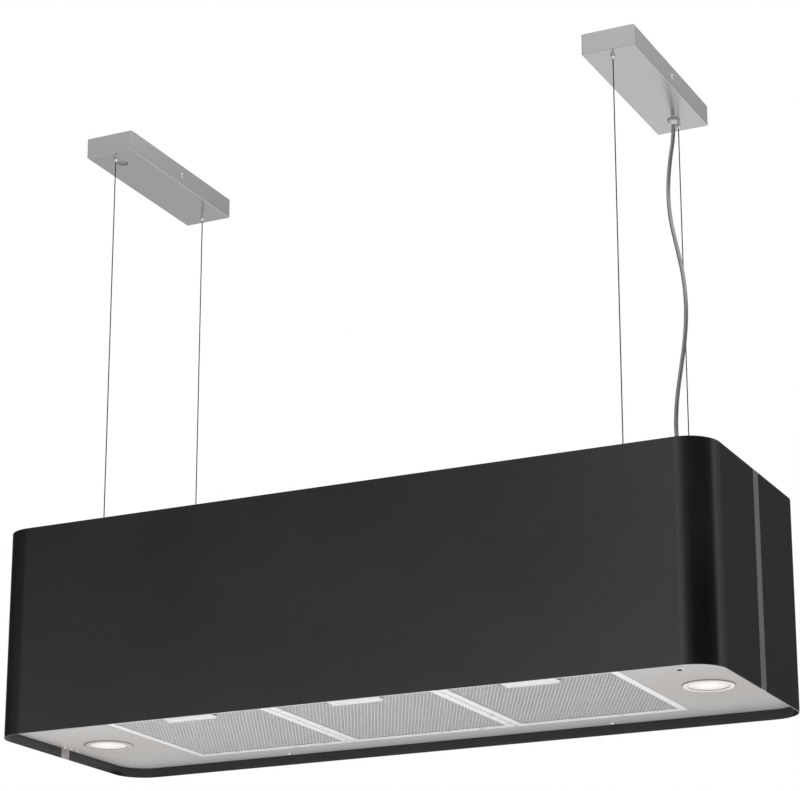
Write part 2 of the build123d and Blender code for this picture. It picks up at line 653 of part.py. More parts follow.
def lamp_bezel(x):
    """Ring that shows below the panel, with a tube and two snap wedges above it."""
    bore = LAMP_TUBE_RADIUS - LAMP_TUBE_SHEET
    low = Z_PANEL - LAMP_LIP
    bezel = turned([
        (LAMP_WINDOW_RADIUS, low + LAMP_LIP / 3),
        (LAMP_WINDOW_RADIUS + LAMP_LIP / 3, low),
        (LAMP_RADIUS - LAMP_LIP, low),
        (LAMP_RADIUS, Z_PANEL - LAMP_LIP / 3),
        (LAMP_RADIUS, Z_PANEL),
        (LAMP_TUBE_RADIUS, Z_PANEL),
        (LAMP_TUBE_RADIUS, Z_PANEL + LAMP_TUBE_HEIGHT),
        (bore, Z_PANEL + LAMP_TUBE_HEIGHT),
        (bore, LENS_SEAT),
        (LAMP_WINDOW_RADIUS, LENS_SEAT),
    ])
    foot = Z_PANEL_TOP + FIT
    wedge = make_face(Polyline(
        (LAMP_TUBE_RADIUS - LAMP_TUBE_SHEET / 2, foot),
        (LAMP_RADIUS, foot),
        (LAMP_TUBE_RADIUS - LAMP_TUBE_SHEET / 2, foot + LAMP_TUBE_HEIGHT / 2),
        close=True,
    ))
    snap = extrude(Plane.XZ * wedge, amount=LAMP_TUBE_HEIGHT / 4, both=True)
    for turn in (0, 180):
        bezel += Rot(0, 0, turn) * snap
    return Pos(x, 0, 0) * bezel


def lamp_lens(x):
    """Frosted glass disc that rests on the ring's inner ledge."""
    edge = LENS_THICKNESS / 4
    return turned([
        (0, LENS_SEAT),
        (LENS_RADIUS, LENS_SEAT),
        (LENS_RADIUS, LENS_SEAT + LENS_THICKNESS - edge),
        (LENS_RADIUS - edge, LENS_SEAT + LENS_THICKNESS),
        (0, LENS_SEAT + LENS_THICKNESS),
    ], x)


def lamp_housing(x):
    """Lamp body over the glass, with ring fins that carry its heat away."""
    low = LENS_SEAT + LENS_THICKNESS
    high = low + LAMP_BODY_HEIGHT
    core = LENS_RADIUS - LAMP_FIN_DEPTH
    points = [(0, low), (LENS_RADIUS, low)]
    z = low + LAMP_FIN_PITCH
    while z + LAMP_FIN_PITCH < high:
        points += [(LENS_RADIUS, z), (core, z)]
        points += [(core, z + LAMP_FIN_PITCH / 2), (LENS_RADIUS, z + LAMP_FIN_PITCH / 2)]
        z += LAMP_FIN_PITCH
    points += [(LENS_RADIUS, high), (0, high)]
    return turned(points, x)


for name, side in SIDES.items():
    parts[f"lamp_bezel_{name}"] = lamp_bezel(side * LAMP_X)
    parts[f"lamp_lens_{name}"] = lamp_lens(side * LAMP_X)
    parts[f"lamp_housing_{name}"] = lamp_housing(side * LAMP_X)


# Push buttons and sensor

COLLAR_FOOT = Z_PANEL_TOP + FIT / 3
BUTTON_TOP = COLLAR_FOOT + BUTTON_COLLAR + BUTTON_STEM
BLOCK_ROOF = BUTTON_TOP + BUTTON_TRAVEL + 2 * FIT
BUTTON_BORE = BUTTON_RADIUS + BUTTON_COLLAR + FIT


def push_button(y):
    """Domed pin with a collar that stops it on the panel and a stem into the switch."""
    low = Z_PANEL - BUTTON_REACH
    dome = BUTTON_RADIUS / 3
    return turned([
        (0, low),
        (BUTTON_RADIUS - dome, low),
        (BUTTON_RADIUS - dome / 3, low + dome / 3),
        (BUTTON_RADIUS, low + dome),
        (BUTTON_RADIUS, COLLAR_FOOT),
        (BUTTON_RADIUS + BUTTON_COLLAR, COLLAR_FOOT),
        (BUTTON_RADIUS + BUTTON_COLLAR, COLLAR_FOOT + BUTTON_COLLAR),
        (BUTTON_RADIUS - dome, COLLAR_FOOT + BUTTON_COLLAR),
        (BUTTON_RADIUS - dome, BUTTON_TOP),
        (0, BUTTON_TOP),
    ], BUTTON_X, y)


def switch_block():
    """Moulded block on the panel with a blind bore over each button."""
    half = BUTTON_INSET - SHELL_SHEET - PANEL_SHEET - 2 * FIT
    roof = BLOCK_ROOF + 3 * PANEL_SHEET
    outline = Pos(BUTTON_X, BUTTON_Y) * RectangleRounded(2 * half, SWITCH_BLOCK_LENGTH, 2 * PANEL_SHEET)
    body = plate(outline, Z_PANEL_TOP, roof - Z_PANEL_TOP)
    for y in BUTTON_PLACES:
        body -= plate(Pos(BUTTON_X, y) * Circle(BUTTON_BORE), Z_PANEL_TOP, BLOCK_ROOF - Z_PANEL_TOP)
    return body


def sensor_bezel():
    """Small ring in the panel round the sensor window."""
    bore = SENSOR_RADIUS + RUN
    tube = SENSOR_RADIUS + SENSOR_RING / 2
    return turned([
        (bore, Z_PANEL - SENSOR_RING / 2),
        (tube, Z_PANEL - SENSOR_RING / 2),
        (SENSOR_RADIUS + SENSOR_RING, Z_PANEL),
        (tube, Z_PANEL),
        (tube, Z_PANEL + SENSOR_HEIGHT),
        (bore, Z_PANEL + SENSOR_HEIGHT),
    ], SENSOR_X, SENSOR_Y)


def sensor_window():
    """Dark domed window that drops into its ring from above."""
    seat = Z_PANEL + SENSOR_HEIGHT
    low = Z_PANEL - SENSOR_DOME
    shoulder = low + SENSOR_DOME / 2
    side = (SENSOR_RADIUS * sin(pi / 4), low + SENSOR_DOME / 6)
    profile = make_face(Plane.XZ * Curve([
        Line((0, seat + SENSOR_RING), (0, low)),
        ThreePointArc((0, low), side, (SENSOR_RADIUS, shoulder)),
        Polyline(
            (SENSOR_RADIUS, shoulder),
            (SENSOR_RADIUS, seat),
            (SENSOR_RADIUS + SENSOR_RING, seat),
            (SENSOR_RADIUS + SENSOR_RING, seat + SENSOR_RING),
            (0, seat + SENSOR_RING),
        ),
    ]))
    return Pos(SENSOR_X, SENSOR_Y, 0) * revolve(profile, Axis.Z)


for number, y in enumerate(BUTTON_PLACES, start=1):
    parts[f"push_button_{number}"] = push_button(y)
parts["switch_block"] = switch_block()
parts["sensor_bezel"] = sensor_bezel()
parts["sensor_window"] = sensor_window()


# Blower

SCROLL_ARCS = 6


def scroll_outline(extra=0.0):
    """Closed outline of the scroll and its upright outlet, grown by the sheet's thickness."""
    first = degrees(acos((SCROLL_RADIUS * cos(radians(SCROLL_START)) - extra) / (SCROLL_RADIUS + extra)))

    def point(angle):
        radius = scroll_radius(angle) + extra
        return radius * cos(radians(angle)), radius * sin(radians(angle))

    step = (FULL_TURN - first) / SCROLL_ARCS
    edges = []
    for i in range(SCROLL_ARCS):
        angle = first + i * step
        edges.append(ThreePointArc(point(angle), point(angle + step / 2), point(angle + step)))
    start, finish = point(first), point(FULL_TURN)
    edges.append(Polyline(finish, (finish[0], FAN_DROP), (start[0], FAN_DROP), start))
    return make_face(Curve(edges))


def ring_sector(inner, outer, half_angle, turn):
    """Sector of a flat ring about the fan axis."""
    spread = [turn + side * half_angle for side in (-1, 0, 1)]
    near = [(inner * cos(radians(a)), inner * sin(radians(a))) for a in spread]
    far = [(outer * cos(radians(a)), outer * sin(radians(a))) for a in spread]
    arcs = [ThreePointArc(*near), ThreePointArc(*reversed(far))]
    return make_face(Curve(arcs + [Line(near[2], far[2]), Line(far[0], near[0])]))


BAYONET_TURNS = [90 + i * FULL_TURN / BAYONET_COUNT for i in range(BAYONET_COUNT)]


def side_plate(side, spider):
    """Side of the casing with its inlet, rolled inlet lip and bayonet catches."""
    sheet = scroll_outline(CASING_SHEET) - Circle(INLET_RADIUS)
    if spider:
        for i in range(SPIDER_ARMS):
            arm = Pos(INLET_RADIUS / 2, 0) * Rectangle(INLET_RADIUS + 2 * CASING_SHEET, SPIDER_ARM_WIDTH)
            sheet += Rot(0, 0, i * FULL_TURN / SPIDER_ARMS - 90) * arm
        sheet += Circle(SPIDER_HUB_RADIUS)
    face = side * FAN_SIDE
    body = in_fan_plane(sheet, face, side * CASING_SHEET)
    lip = Circle(INLET_RADIUS + CASING_SHEET) - Circle(INLET_RADIUS)
    body += in_fan_plane(lip, face, -side * INLET_LIP)
    catch = CARTRIDGE_RADIUS + BAYONET_REACH + FIT
    roof = side * (PLATE_OUT + BAYONET_SHEET + 2 * FIT)
    for turn in BAYONET_TURNS:
        post = ring_sector(catch, catch + BAYONET_SHEET, BAYONET_HALF_ANGLE, turn)
        body += in_fan_plane(post, side * PLATE_OUT, side * (2 * BAYONET_SHEET + 2 * FIT))
        hook = ring_sector(CARTRIDGE_RADIUS + 2 * FIT, catch + BAYONET_SHEET, BAYONET_HALF_ANGLE, turn)
        body += in_fan_plane(hook, roof, side * BAYONET_SHEET)
    return body


def blower_casing():
    """Scroll wrap with its left side plate; the outlet butts against the deck."""
    wrap = scroll_outline(CASING_SHEET) - scroll_outline()
    return in_fan_plane(wrap, -FAN_SIDE, 2 * FAN_SIDE) + side_plate(-1, spider=False)


def fan_motor():
    """Motor inside the impeller, on the spider of the right side plate."""
    near = 2 * FAN_DISC + MOTOR_HUB_GAP
    bore = SHAFT_RADIUS + RUN
    return spun([
        (near, bore),
        (near, MOTOR_BOSS_RADIUS),
        (near + MOTOR_BOSS_LENGTH, MOTOR_BOSS_RADIUS),
        (near + MOTOR_BOSS_LENGTH, MOTOR_RADIUS - MOTOR_BOSS_LENGTH),
        (near + 2 * MOTOR_BOSS_LENGTH, MOTOR_RADIUS),
        (FAN_SIDE, MOTOR_RADIUS),
        (FAN_SIDE, 0),
        (FAN_SIDE - MOTOR_END_WALL, 0),
        (FAN_SIDE - MOTOR_END_WALL, bore),
    ])


def impeller():
    """Double-inlet wheel: forward-curved blades between two end rings, with a centre disc and hub."""
    inner = FAN_RADIUS - BLADE_CHORD

    def blade_edge(shift):
        spread = ((inner, 0.0), (inner + BLADE_CHORD / 2, BLADE_SWEEP / 4), (FAN_RADIUS, BLADE_SWEEP))
        return [(r * cos(radians(a + shift)), r * sin(radians(a + shift))) for r, a in spread]

    front = blade_edge(0.0)
    back = blade_edge(degrees(BLADE_SHEET / FAN_RADIUS))
    blade = make_face(Curve([
        ThreePointArc(*front),
        Line(front[2], back[2]),
        ThreePointArc(*reversed(back)),
        Line(back[0], front[0]),
    ]))
    blades = Sketch() + [place * blade for place in PolarLocations(0, FAN_BLADES)]
    wheel = in_fan_plane(blades, -FAN_WIDTH / 2, FAN_WIDTH)
    ring = Circle(FAN_RADIUS + FAN_RING / 2) - Circle(inner - FAN_RING / 2)
    for start in (-FAN_WIDTH / 2, FAN_WIDTH / 2 - FAN_RING):
        wheel += in_fan_plane(ring, start, FAN_RING)
    bore = SHAFT_RADIUS + RUN / 3
    half = FAN_DISC / 2
    wheel += spun([
        (FAN_DISC - FAN_HUB_LENGTH, bore),
        (FAN_DISC - FAN_HUB_LENGTH, FAN_HUB_RADIUS),
        (-half, FAN_HUB_RADIUS),
        (-half, FAN_RADIUS - BLADE_SHEET),
        (half, FAN_RADIUS - BLADE_SHEET),
        (half, FAN_HUB_RADIUS),
        (2 * FAN_DISC, FAN_HUB_RADIUS),
        (2 * FAN_DISC, bore),
    ])
    return wheel


def motor_shaft():
    """Shaft from the motor into the impeller's hub."""
    end = FAN_SIDE - MOTOR_END_WALL - FIT
    return cylinder_x(SHAFT_RADIUS, (FAN_DISC - FAN_HUB_LENGTH, end), FAN_Y, FAN_Z)


def charcoal_cartridge(side):
    """Round odour filter over one inlet, with rays in its face and three bayonet lugs."""
    seat = PLATE_OUT + FIT
    body = in_fan_plane(Circle(CARTRIDGE_RADIUS), side * seat, side * CARTRIDGE_DEPTH)
    length = CARTRIDGE_RADIUS * RAY_SHARE
    ray = Pos(length, 0) * SlotOverall(length, 2 * BAYONET_SHEET)
    rays = Sketch() + [place * ray for place in PolarLocations(0, CARTRIDGE_RAYS)]
    body -= in_fan_plane(rays, side * (seat + CARTRIDGE_DEPTH), -side * BAYONET_SHEET)
    for turn in BAYONET_TURNS:
        lug_plan = ring_sector(
            CARTRIDGE_RADIUS - BAYONET_SHEET, CARTRIDGE_RADIUS + BAYONET_REACH, BAYONET_HALF_ANGLE, turn)
        body += in_fan_plane(lug_plan, side * seat, side * BAYONET_SHEET)
    return body


parts["blower_casing"] = blower_casing()
parts["blower_cover"] = side_plate(1, spider=True)
parts["fan_motor"] = fan_motor()
parts["motor_shaft"] = motor_shaft()
parts["impeller"] = impeller()
for name, side in SIDES.items():
    parts[f"charcoal_cartridge_{name}"] = charcoal_cartridge(side)


# Control box, with the cable gland over its rear edge

def control_box():
    """Closed electronics box under the deck."""
    rear = CABLE_OFFSET + GLAND_RADIUS + 2 * FIT
    outline = RectangleRounded(CONTROL_LENGTH, CONTROL_DEPTH, CONTROL_CORNER)
    outline = Pos(COVER_X, rear - CONTROL_DEPTH / 2) * outline
    body = plate(outline, Z_DECK_UNDER - CONTROL_HEIGHT, CONTROL_HEIGHT)
    return fillet(body.edges().group_by(Axis.Z)[0], CONTROL_CORNER / 4)


parts["control_box"] = control_box()


# Ceiling brackets and covers, drawn for the right side

def ceiling_bracket():
    """Strip on the ceiling whose two ends step down to hold the wire ferrules."""
    half = COVER_WIDTH / 2 - COVER_SHEET - FIT
    drop = WIRE_Y - BRACKET_FOOT / 2
    end = WIRE_Y + BRACKET_FOOT / 2
    low = -BRACKET_STEP - BRACKET_SHEET
    high = -BRACKET_SHEET
    points = ((-end, low), (-drop, low), (-drop, high), (drop, high), (drop, low), (end, low))
    bracket = along_x(folded(points, BRACKET_SHEET, Side.LEFT, BRACKET_BEND), half)
    hole = Z_COVER + COVER_SCREW_RISE
    width = (-BRACKET_TAB / 2, BRACKET_TAB / 2)
    for side in SIDES.values():
        tab = (side * (half - BRACKET_SHEET), side * half)
        bracket += block(tab, width, (hole - BRACKET_TAB / 4, high / 2))
    bracket -= cylinder_x(SCREW_RADIUS + RUN, (-half, half), 0, hole)
    cuts = Circle(SUPPLY_HOLE_RADIUS)
    for side in SIDES.values():
        cuts += Pos(0, side * MOUNT_SPACING / 2) * Circle(MOUNT_HOLE_RADIUS)
        cuts += Pos(0, side * WIRE_Y) * Circle(FERRULE_RADIUS + FIT)
    return bracket - plate(cuts, low, -low)


def ceiling_cover(cable):
    """Open box over the bracket with wire holes, two side screw holes and a cable hole or its knock-out disc."""
    height = COVER_HEIGHT - COVER_GAP
    outer = RectangleRounded(COVER_WIDTH, COVER_DEPTH, COVER_CORNER)
    inner = offset(outer, amount=-COVER_SHEET)
    cover = plate(outer, Z_COVER, height)
    cover = fillet(cover.edges().group_by(Axis.Z)[0], COVER_EDGE)
    cover -= plate(inner, Z_COVER + COVER_SHEET, height)
    disc = Pos(0, CABLE_OFFSET) * Circle(CABLE_HOLE_RADIUS)
    cover -= plate(disc, Z_COVER, COVER_SHEET if cable else KNOCKOUT_DEPTH)
    if not cable:
        cover += plate(disc, Z_COVER + COVER_SHEET, KNOCKOUT_DEPTH)
    cuts = Sketch()
    for side in SIDES.values():
        cuts += Pos(0, side * WIRE_Y) * Circle(FERRULE_RADIUS + FIT)
    cover -= plate(cuts, Z_COVER, COVER_SHEET)
    cover -= cylinder_x(SCREW_RADIUS + FIT, (-COVER_WIDTH, COVER_WIDTH), 0, Z_COVER + COVER_SCREW_RISE)
    return cover


def wire_ferrule():
    """Stop on a wire's upper end: the head rests on the bracket and the nose shows under the cover."""
    seat = -BRACKET_STEP
    nose = Z_COVER - FERRULE_REACH
    return turned([
        (0, seat + FERRULE_HEAD_HEIGHT),
        (FERRULE_HEAD_RADIUS, seat + FERRULE_HEAD_HEIGHT),
        (FERRULE_HEAD_RADIUS, seat),
        (FERRULE_RADIUS, seat),
        (FERRULE_RADIUS, nose + FERRULE_RADIUS),
        (WIRE_DIAMETER, nose),
        (0, nose),
    ])


def cover_screw():
    """Screw through the cover's side into the bracket's tab, drawn for the right-hand side."""
    return Rot(0, -90, 0) * screw(COVER_SHEET + FIT + BRACKET_SHEET + FIT)


bracket = ceiling_bracket()
ferrule = wire_ferrule()
side_screw = Pos(COVER_WIDTH / 2, 0, Z_COVER + COVER_SCREW_RISE) * cover_screw()
half_turns = {"left": 180, "right": 0}
for name, side in SIDES.items():
    place = Pos(side * COVER_X, 0, 0) * Rot(0, 0, half_turns[name])
    parts[f"ceiling_bracket_{name}"] = place * bracket
    parts[f"ceiling_cover_{name}"] = place * ceiling_cover(name == "right")
parts["cover_screws"] = group(
    [Pos(side * COVER_X, 0, 0) * Rot(0, 0, turn) * side_screw
     for side in SIDES.values() for turn in (0, 180)]
)
parts["wire_ferrules"] = group([Pos(x, y, 0) * ferrule for x, y in WIRE_PLACES])


# Wires and the grippers that hold the body on them

def wire_gripper():
    """Gripper body on the deck, bored for the wire and counterbored for its release collar."""
    floor = GRIPPER_HEIGHT / 2
    return turned([
        (WIRE_BORE, Z_DECK - DECK_SHEET - 2 * GRIPPER_NUT_HEIGHT),
        (GRIPPER_STUD_RADIUS, Z_DECK - DECK_SHEET - 2 * GRIPPER_NUT_HEIGHT),
        (GRIPPER_STUD_RADIUS, Z_DECK),
        (GRIPPER_RADIUS + DECK_SHEET, Z_DECK),
        (GRIPPER_RADIUS + DECK_SHEET, Z_DECK + DECK_SHEET),
        (GRIPPER_RADIUS, Z_DECK + 2 * DECK_SHEET),
        (GRIPPER_RADIUS, Z_DECK + GRIPPER_HEIGHT - DECK_SHEET),
        (GRIPPER_RADIUS - DECK_SHEET, Z_DECK + GRIPPER_HEIGHT),
        (COLLAR_RADIUS + RUN, Z_DECK + GRIPPER_HEIGHT),
        (COLLAR_RADIUS + RUN, Z_DECK + floor),
        (WIRE_BORE, Z_DECK + floor),
    ])


def gripper_nut():
    """Hexagon nut under the deck."""
    hexagon = RegularPolygon(GRIPPER_NUT_FLATS / 2, 6, major_radius=False)
    ring = hexagon - Circle(GRIPPER_STUD_RADIUS + RUN)
    return plate(ring, Z_DECK_UNDER - GRIPPER_NUT_HEIGHT, GRIPPER_NUT_HEIGHT)


def release_collar():
    """Collar that is pressed down to let the wire run."""
    foot = Z_DECK + GRIPPER_HEIGHT / 2 + COLLAR_TRAVEL + FIT
    head = Z_DECK + GRIPPER_HEIGHT + COLLAR_TRAVEL + FIT
    return turned([
        (WIRE_BORE, foot),
        (COLLAR_RADIUS, foot),
        (COLLAR_RADIUS, head),
        (COLLAR_RADIUS + DECK_SHEET, head),
        (COLLAR_RADIUS + DECK_SHEET, head + COLLAR_RISE - COLLAR_TRAVEL - DECK_SHEET),
        (COLLAR_RADIUS, head + COLLAR_RISE - COLLAR_TRAVEL),
        (WIRE_BORE, head + COLLAR_RISE - COLLAR_TRAVEL),
    ])


def suspension_wire():
    """Wire from the ferrule's nose through the gripper, with a short tail under the deck."""
    high = Z_COVER - FERRULE_REACH
    low = Z_DECK_UNDER - WIRE_TAIL
    return plate(Circle(WIRE_RADIUS), low, high - low)


gripper = wire_gripper()
nut = gripper_nut()
collar = release_collar()
wire = suspension_wire()
parts["wire_grippers"] = group(
    [Pos(x, y, 0) * piece for x, y in WIRE_PLACES for piece in (gripper, nut)]
)
parts["suspension_wires"] = group([Pos(x, y, 0) * wire for x, y in WIRE_PLACES])
wire_names = ("front_left", "rear_left", "front_right", "rear_right")
for name, (x, y) in zip(wire_names, WIRE_PLACES):
    parts[f"release_collar_{name}"] = Pos(x, y, 0) * collar


# Power cable, its terminal block in the right ceiling box, its bush and its gland

def terminal_block():
    """Mains connector under the right bracket, with a round entry for each core on its front."""
    high = -BRACKET_SHEET
    rear = WIRE_Y - BRACKET_FOOT / 2 - BRACKET_BEND - FIT
    body = block(
        (COVER_X - TERMINAL_WIDTH / 2, COVER_X + TERMINAL_WIDTH / 2),
        (rear - TERMINAL_LENGTH, rear),
        (high - TERMINAL_HEIGHT, high),
    )
    entry = Rot(90, 0, 0) * Cylinder(CABLE_RADIUS / 2, CABLE_DIAMETER)
    for column in (-1, 0, 1):
        x = COVER_X + column * TERMINAL_WIDTH / 4
        body -= Pos(x, rear - TERMINAL_LENGTH, high - TERMINAL_HEIGHT / 2) * entry
    return body


def cable_bush():
    """Bush in the right cover's cable hole, tapered below."""
    bore = CABLE_RADIUS + FIT / 2
    low = Z_COVER - BUSH_TAPER
    return turned([
        (bore, low),
        (bore + COVER_SHEET, low),
        (bore + 2 * COVER_SHEET, Z_COVER - COVER_SHEET),
        (BUSH_FLANGE_RADIUS, Z_COVER - COVER_SHEET),
        (BUSH_FLANGE_RADIUS, Z_COVER),
        (CABLE_HOLE_RADIUS - FIT / 2, Z_COVER),
        (CABLE_HOLE_RADIUS - FIT / 2, Z_COVER + 2 * COVER_SHEET),
        (bore, Z_COVER + 2 * COVER_SHEET),
    ], COVER_X, CABLE_OFFSET)


def cable_gland():
    """Tapered gland where the cable goes into the deck."""
    bore = CABLE_RADIUS + FIT / 2
    high = Z_DECK + GLAND_HEIGHT
    return turned([
        (bore, Z_DECK_UNDER),
        (GLAND_RADIUS, Z_DECK_UNDER),
        (GLAND_RADIUS, Z_DECK),
        (GLAND_FLANGE_RADIUS, Z_DECK),
        (GLAND_FLANGE_RADIUS, Z_DECK + GLAND_HEIGHT / 4),
        (GLAND_RADIUS + COVER_SHEET, Z_DECK + GLAND_HEIGHT / 3),
        (bore + COVER_SHEET, high),
        (bore, high),
    ], COVER_X, CABLE_OFFSET)


def power_cable():
    """Round cable along its route, each corner rounded as far as its shorter run allows."""
    points = [Vector(COVER_X + x, CABLE_OFFSET + y, z) for x, y, z in CABLE_ROUTE]
    runs = [b - a for a, b in zip(points, points[1:])]
    radii = []
    for before, after in zip(runs, runs[1:]):
        turn = radians(before.get_angle(after))
        radii.append(ARC_SHARE * min(before.length, after.length) / tan(turn / 2))
    path = FilletPolyline(*points, radius=radii)
    section = Plane(points[0], z_dir=runs[0]) * Circle(CABLE_RADIUS)
    cable = sweep(section, path)
    print("cable radii:", [round(radius) for radius in radii], "length:", round(path.length, 1))
    ideal = pi * CABLE_RADIUS ** 2 * path.length
    print("cable volume over section times length:", round(cable.volume / ideal, 4))
    return cable


parts["terminal_block"] = terminal_block()
parts["cable_bush"] = cable_bush()
parts["cable_gland"] = cable_gland()
parts["power_cable"] = power_cable()

os.makedirs("parts", exist_ok=True)
for name, shape in parts.items():
    export_step(shape, f"parts/{name}.step")
print(len(parts), "pieces written")
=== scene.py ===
import math

import bmesh
import bpy
from bpy.props import FloatProperty, FloatVectorProperty, IntProperty, PointerProperty
from mathutils import Matrix, Vector


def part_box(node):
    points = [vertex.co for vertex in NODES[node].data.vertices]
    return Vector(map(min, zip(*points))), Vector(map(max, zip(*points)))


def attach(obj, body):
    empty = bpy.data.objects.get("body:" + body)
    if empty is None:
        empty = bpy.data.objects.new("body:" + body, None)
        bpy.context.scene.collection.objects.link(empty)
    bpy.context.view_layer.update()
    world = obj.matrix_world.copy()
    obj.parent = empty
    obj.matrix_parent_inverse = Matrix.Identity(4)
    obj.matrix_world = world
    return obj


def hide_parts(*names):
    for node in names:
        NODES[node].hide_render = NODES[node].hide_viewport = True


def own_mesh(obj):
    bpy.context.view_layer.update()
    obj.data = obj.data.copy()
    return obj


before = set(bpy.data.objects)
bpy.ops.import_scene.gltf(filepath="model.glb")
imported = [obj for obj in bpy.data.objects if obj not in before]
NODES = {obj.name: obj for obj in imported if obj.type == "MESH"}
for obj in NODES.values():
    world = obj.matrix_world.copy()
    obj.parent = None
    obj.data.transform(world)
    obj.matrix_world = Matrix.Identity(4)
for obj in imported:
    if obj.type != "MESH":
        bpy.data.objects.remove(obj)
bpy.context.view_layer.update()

bl_info = {
    "name": "Island hood finisher",
    "version": (1, 0, 0),
    "blender": (4, 5, 0),
    "location": "3D View > Sidebar > Hood",
    "description": "Gives a suspended island hood its paint, steel, filter mesh, wire rope, cable and lamps",
    "category": "Object",
}

SIDES = ("left", "right")
FILTERS = ("left", "centre", "right")
CORNERS = ("front_left", "rear_left", "front_right", "rear_right")
BUTTONS = (1, 2, 3)
LAMP_LOW, LAMP_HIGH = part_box("lamp_bezel_right")
LAMP_X = (LAMP_LOW.x + LAMP_HIGH.x) / 2
PANEL_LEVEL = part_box("underside_panel")[0].z
WHITE = (1, 1, 1, 1)

# Within this distance, in metres, loose corners of a CAD mesh are one corner.
WELD = 1e-6

# Distances from a lamp's axis in metres over which the glass fades, the ring carries its painted shade and
# the panel carries painted lamp light.
GLASS_FADE = (0.006, 0.0275)
RING_BAND = (0.026, 0.037)
PANEL_GLOW = (0.034, 0.11)

# Knock-out of the left cover: its middle in plan, and its brightness outwards over the reach, in metres,
# painted as shade on the recessed disc and darker shade at its sheared edge.
KNOCKOUT = (-0.402, -0.110)
KNOCKOUT_REACH = 0.01
KNOCKOUT_SHADE_LEVELS = ((0.0, 0.80), (0.68, 0.62), (0.76, 0.35), (0.81, 0.45), (0.87, 1.0))

# Centre line of the power cable in metres: down out of the terminal block, a loose S, down into the gland.
CABLE_ROUTE = (
    (0.402, 0.11, -0.02),
    (0.402, 0.11, -0.052),
    (0.3935, 0.1108, -0.094432),
    (0.389, 0.1114, -0.138496),
    (0.3915, 0.111, -0.184736),
    (0.4005, 0.1102, -0.2288),
    (0.4095, 0.1094, -0.27504),
    (0.4125, 0.109, -0.322912),
    (0.409, 0.109, -0.369152),
    (0.401, 0.1092, -0.415392),
    (0.393, 0.1096, -0.459456),
    (0.39, 0.11, -0.505696),
    (0.394, 0.1103, -0.54976),
    (0.402, 0.11, -0.596),
    (0.402, 0.11, -0.6375),
)
CABLE_DIAMETER = 0.006


def colour(label, words, value):
    return FloatVectorProperty(
        name=label, description=words, subtype="COLOR", size=3, min=0, max=1, default=value)


def length(label, words, value):
    return FloatProperty(name=label, description=words, unit="LENGTH", default=value, min=0, precision=5)


def angle(label, words, degrees):
    return FloatProperty(name=label, description=words, subtype="ANGLE", default=math.radians(degrees))


def strength(label, words, value):
    return FloatProperty(name=label, description=words, default=value, min=0)


class HoodFinishes(bpy.types.PropertyGroup):
    """Colours and strengths of the hood's finishes."""

    enamel: colour("Enamel", "Satin black enamel of the body shells", (0.004, 0.004, 0.0042))
    cover_steel: colour("Cover steel", "Brushed steel of the ceiling covers", (0.48, 0.48, 0.485))
    trim_steel: colour("Trim steel", "Brushed strip at each end of the body", (0.58, 0.58, 0.585))
    panel_steel: colour("Panel steel", "Brushed steel of the underside panel", (0.485, 0.482, 0.478))
    filter_metal: colour("Filter metal", "Rolled aluminium of the filter frames", (0.88, 0.88, 0.88))
    mesh_metal: colour("Mesh metal", "Expanded aluminium mesh of the filters", (0.69, 0.69, 0.693))
    zinc: colour("Zinc", "Galvanised sheet inside the hood", (0.52, 0.54, 0.55))
    cable_sheath: colour("Cable sheath", "Silver-grey sheath of the power cable", (0.32, 0.32, 0.324))
    lamp_glow: colour("Lamp glow", "Warm white of the lit lamps", (1.0, 0.95, 0.92))
    lamp_strength: strength("Lamp strength", "Brightness of the lit lamp glass", 0.82)


class HoodRepeats(bpy.types.PropertyGroup):
    """Sizes of what repeats: mesh cells, rope strands and screw heads."""

    cell_length: length("Cell length", "Length of one mesh cell along the body", 0.0053)
    cell_width: length("Cell width", "Width of one mesh cell across the body", 0.0106)
    strand_width: length("Strand width", "Width of one mesh strand", 0.0018)
    strand_height: length("Strand height", "Height of one mesh strand", 0.0009)
    rope_strands: IntProperty(
        name="Rope strands", description="Outer strands in one suspension wire", default=6, min=3)
    rope_lay: length("Rope lay", "Length of one turn of a strand", 0.0115)
    recess_width: length("Recess width", "Width of one slot of a screw's cross recess", 0.0009)


class HoodStage(bpy.types.PropertyGroup):
    """Camera, floor and light."""

    camera_place: FloatVectorProperty(
        name="Camera place", description="Where the camera stands", subtype="XYZ", unit="LENGTH", size=3,
        default=(1.60604, -3.27433, -1.65561))
    camera_turn: angle("Camera turn", "Turn to the left from looking along +Y", 25.97)
    camera_tilt: angle("Camera tilt", "Tilt upwards", 16.88)
    camera_roll: angle("Camera roll", "Roll about the line of sight", 0.03)
    camera_lens: FloatProperty(
        name="Lens", description="Focal length in mm on a 36 mm sensor", unit="CAMERA", default=119.889)
    camera_shift: FloatProperty(
        name="Vertical shift", description="Lens shift as a share of the width", default=0.10)
    floor_level: FloatProperty(
        name="Floor level", description="Height of the floor", unit="LENGTH", default=-2.45)
    ambient: strength("Ambient", "Strength of the room light", 0.55)


def socket_name(key):
    """Name of the socket that a keyword stands for."""
    return key.replace("_", " ").title().replace("Ior", "IOR")


def scaled(tone, share):
    """Tone made darker or lighter."""
    return tuple(part * share for part in tone)


def greys(levels):
    """Ramp stops of neutral colours from (position, brightness) pairs."""
    return [(position, (level, level, level)) for position, level in levels]


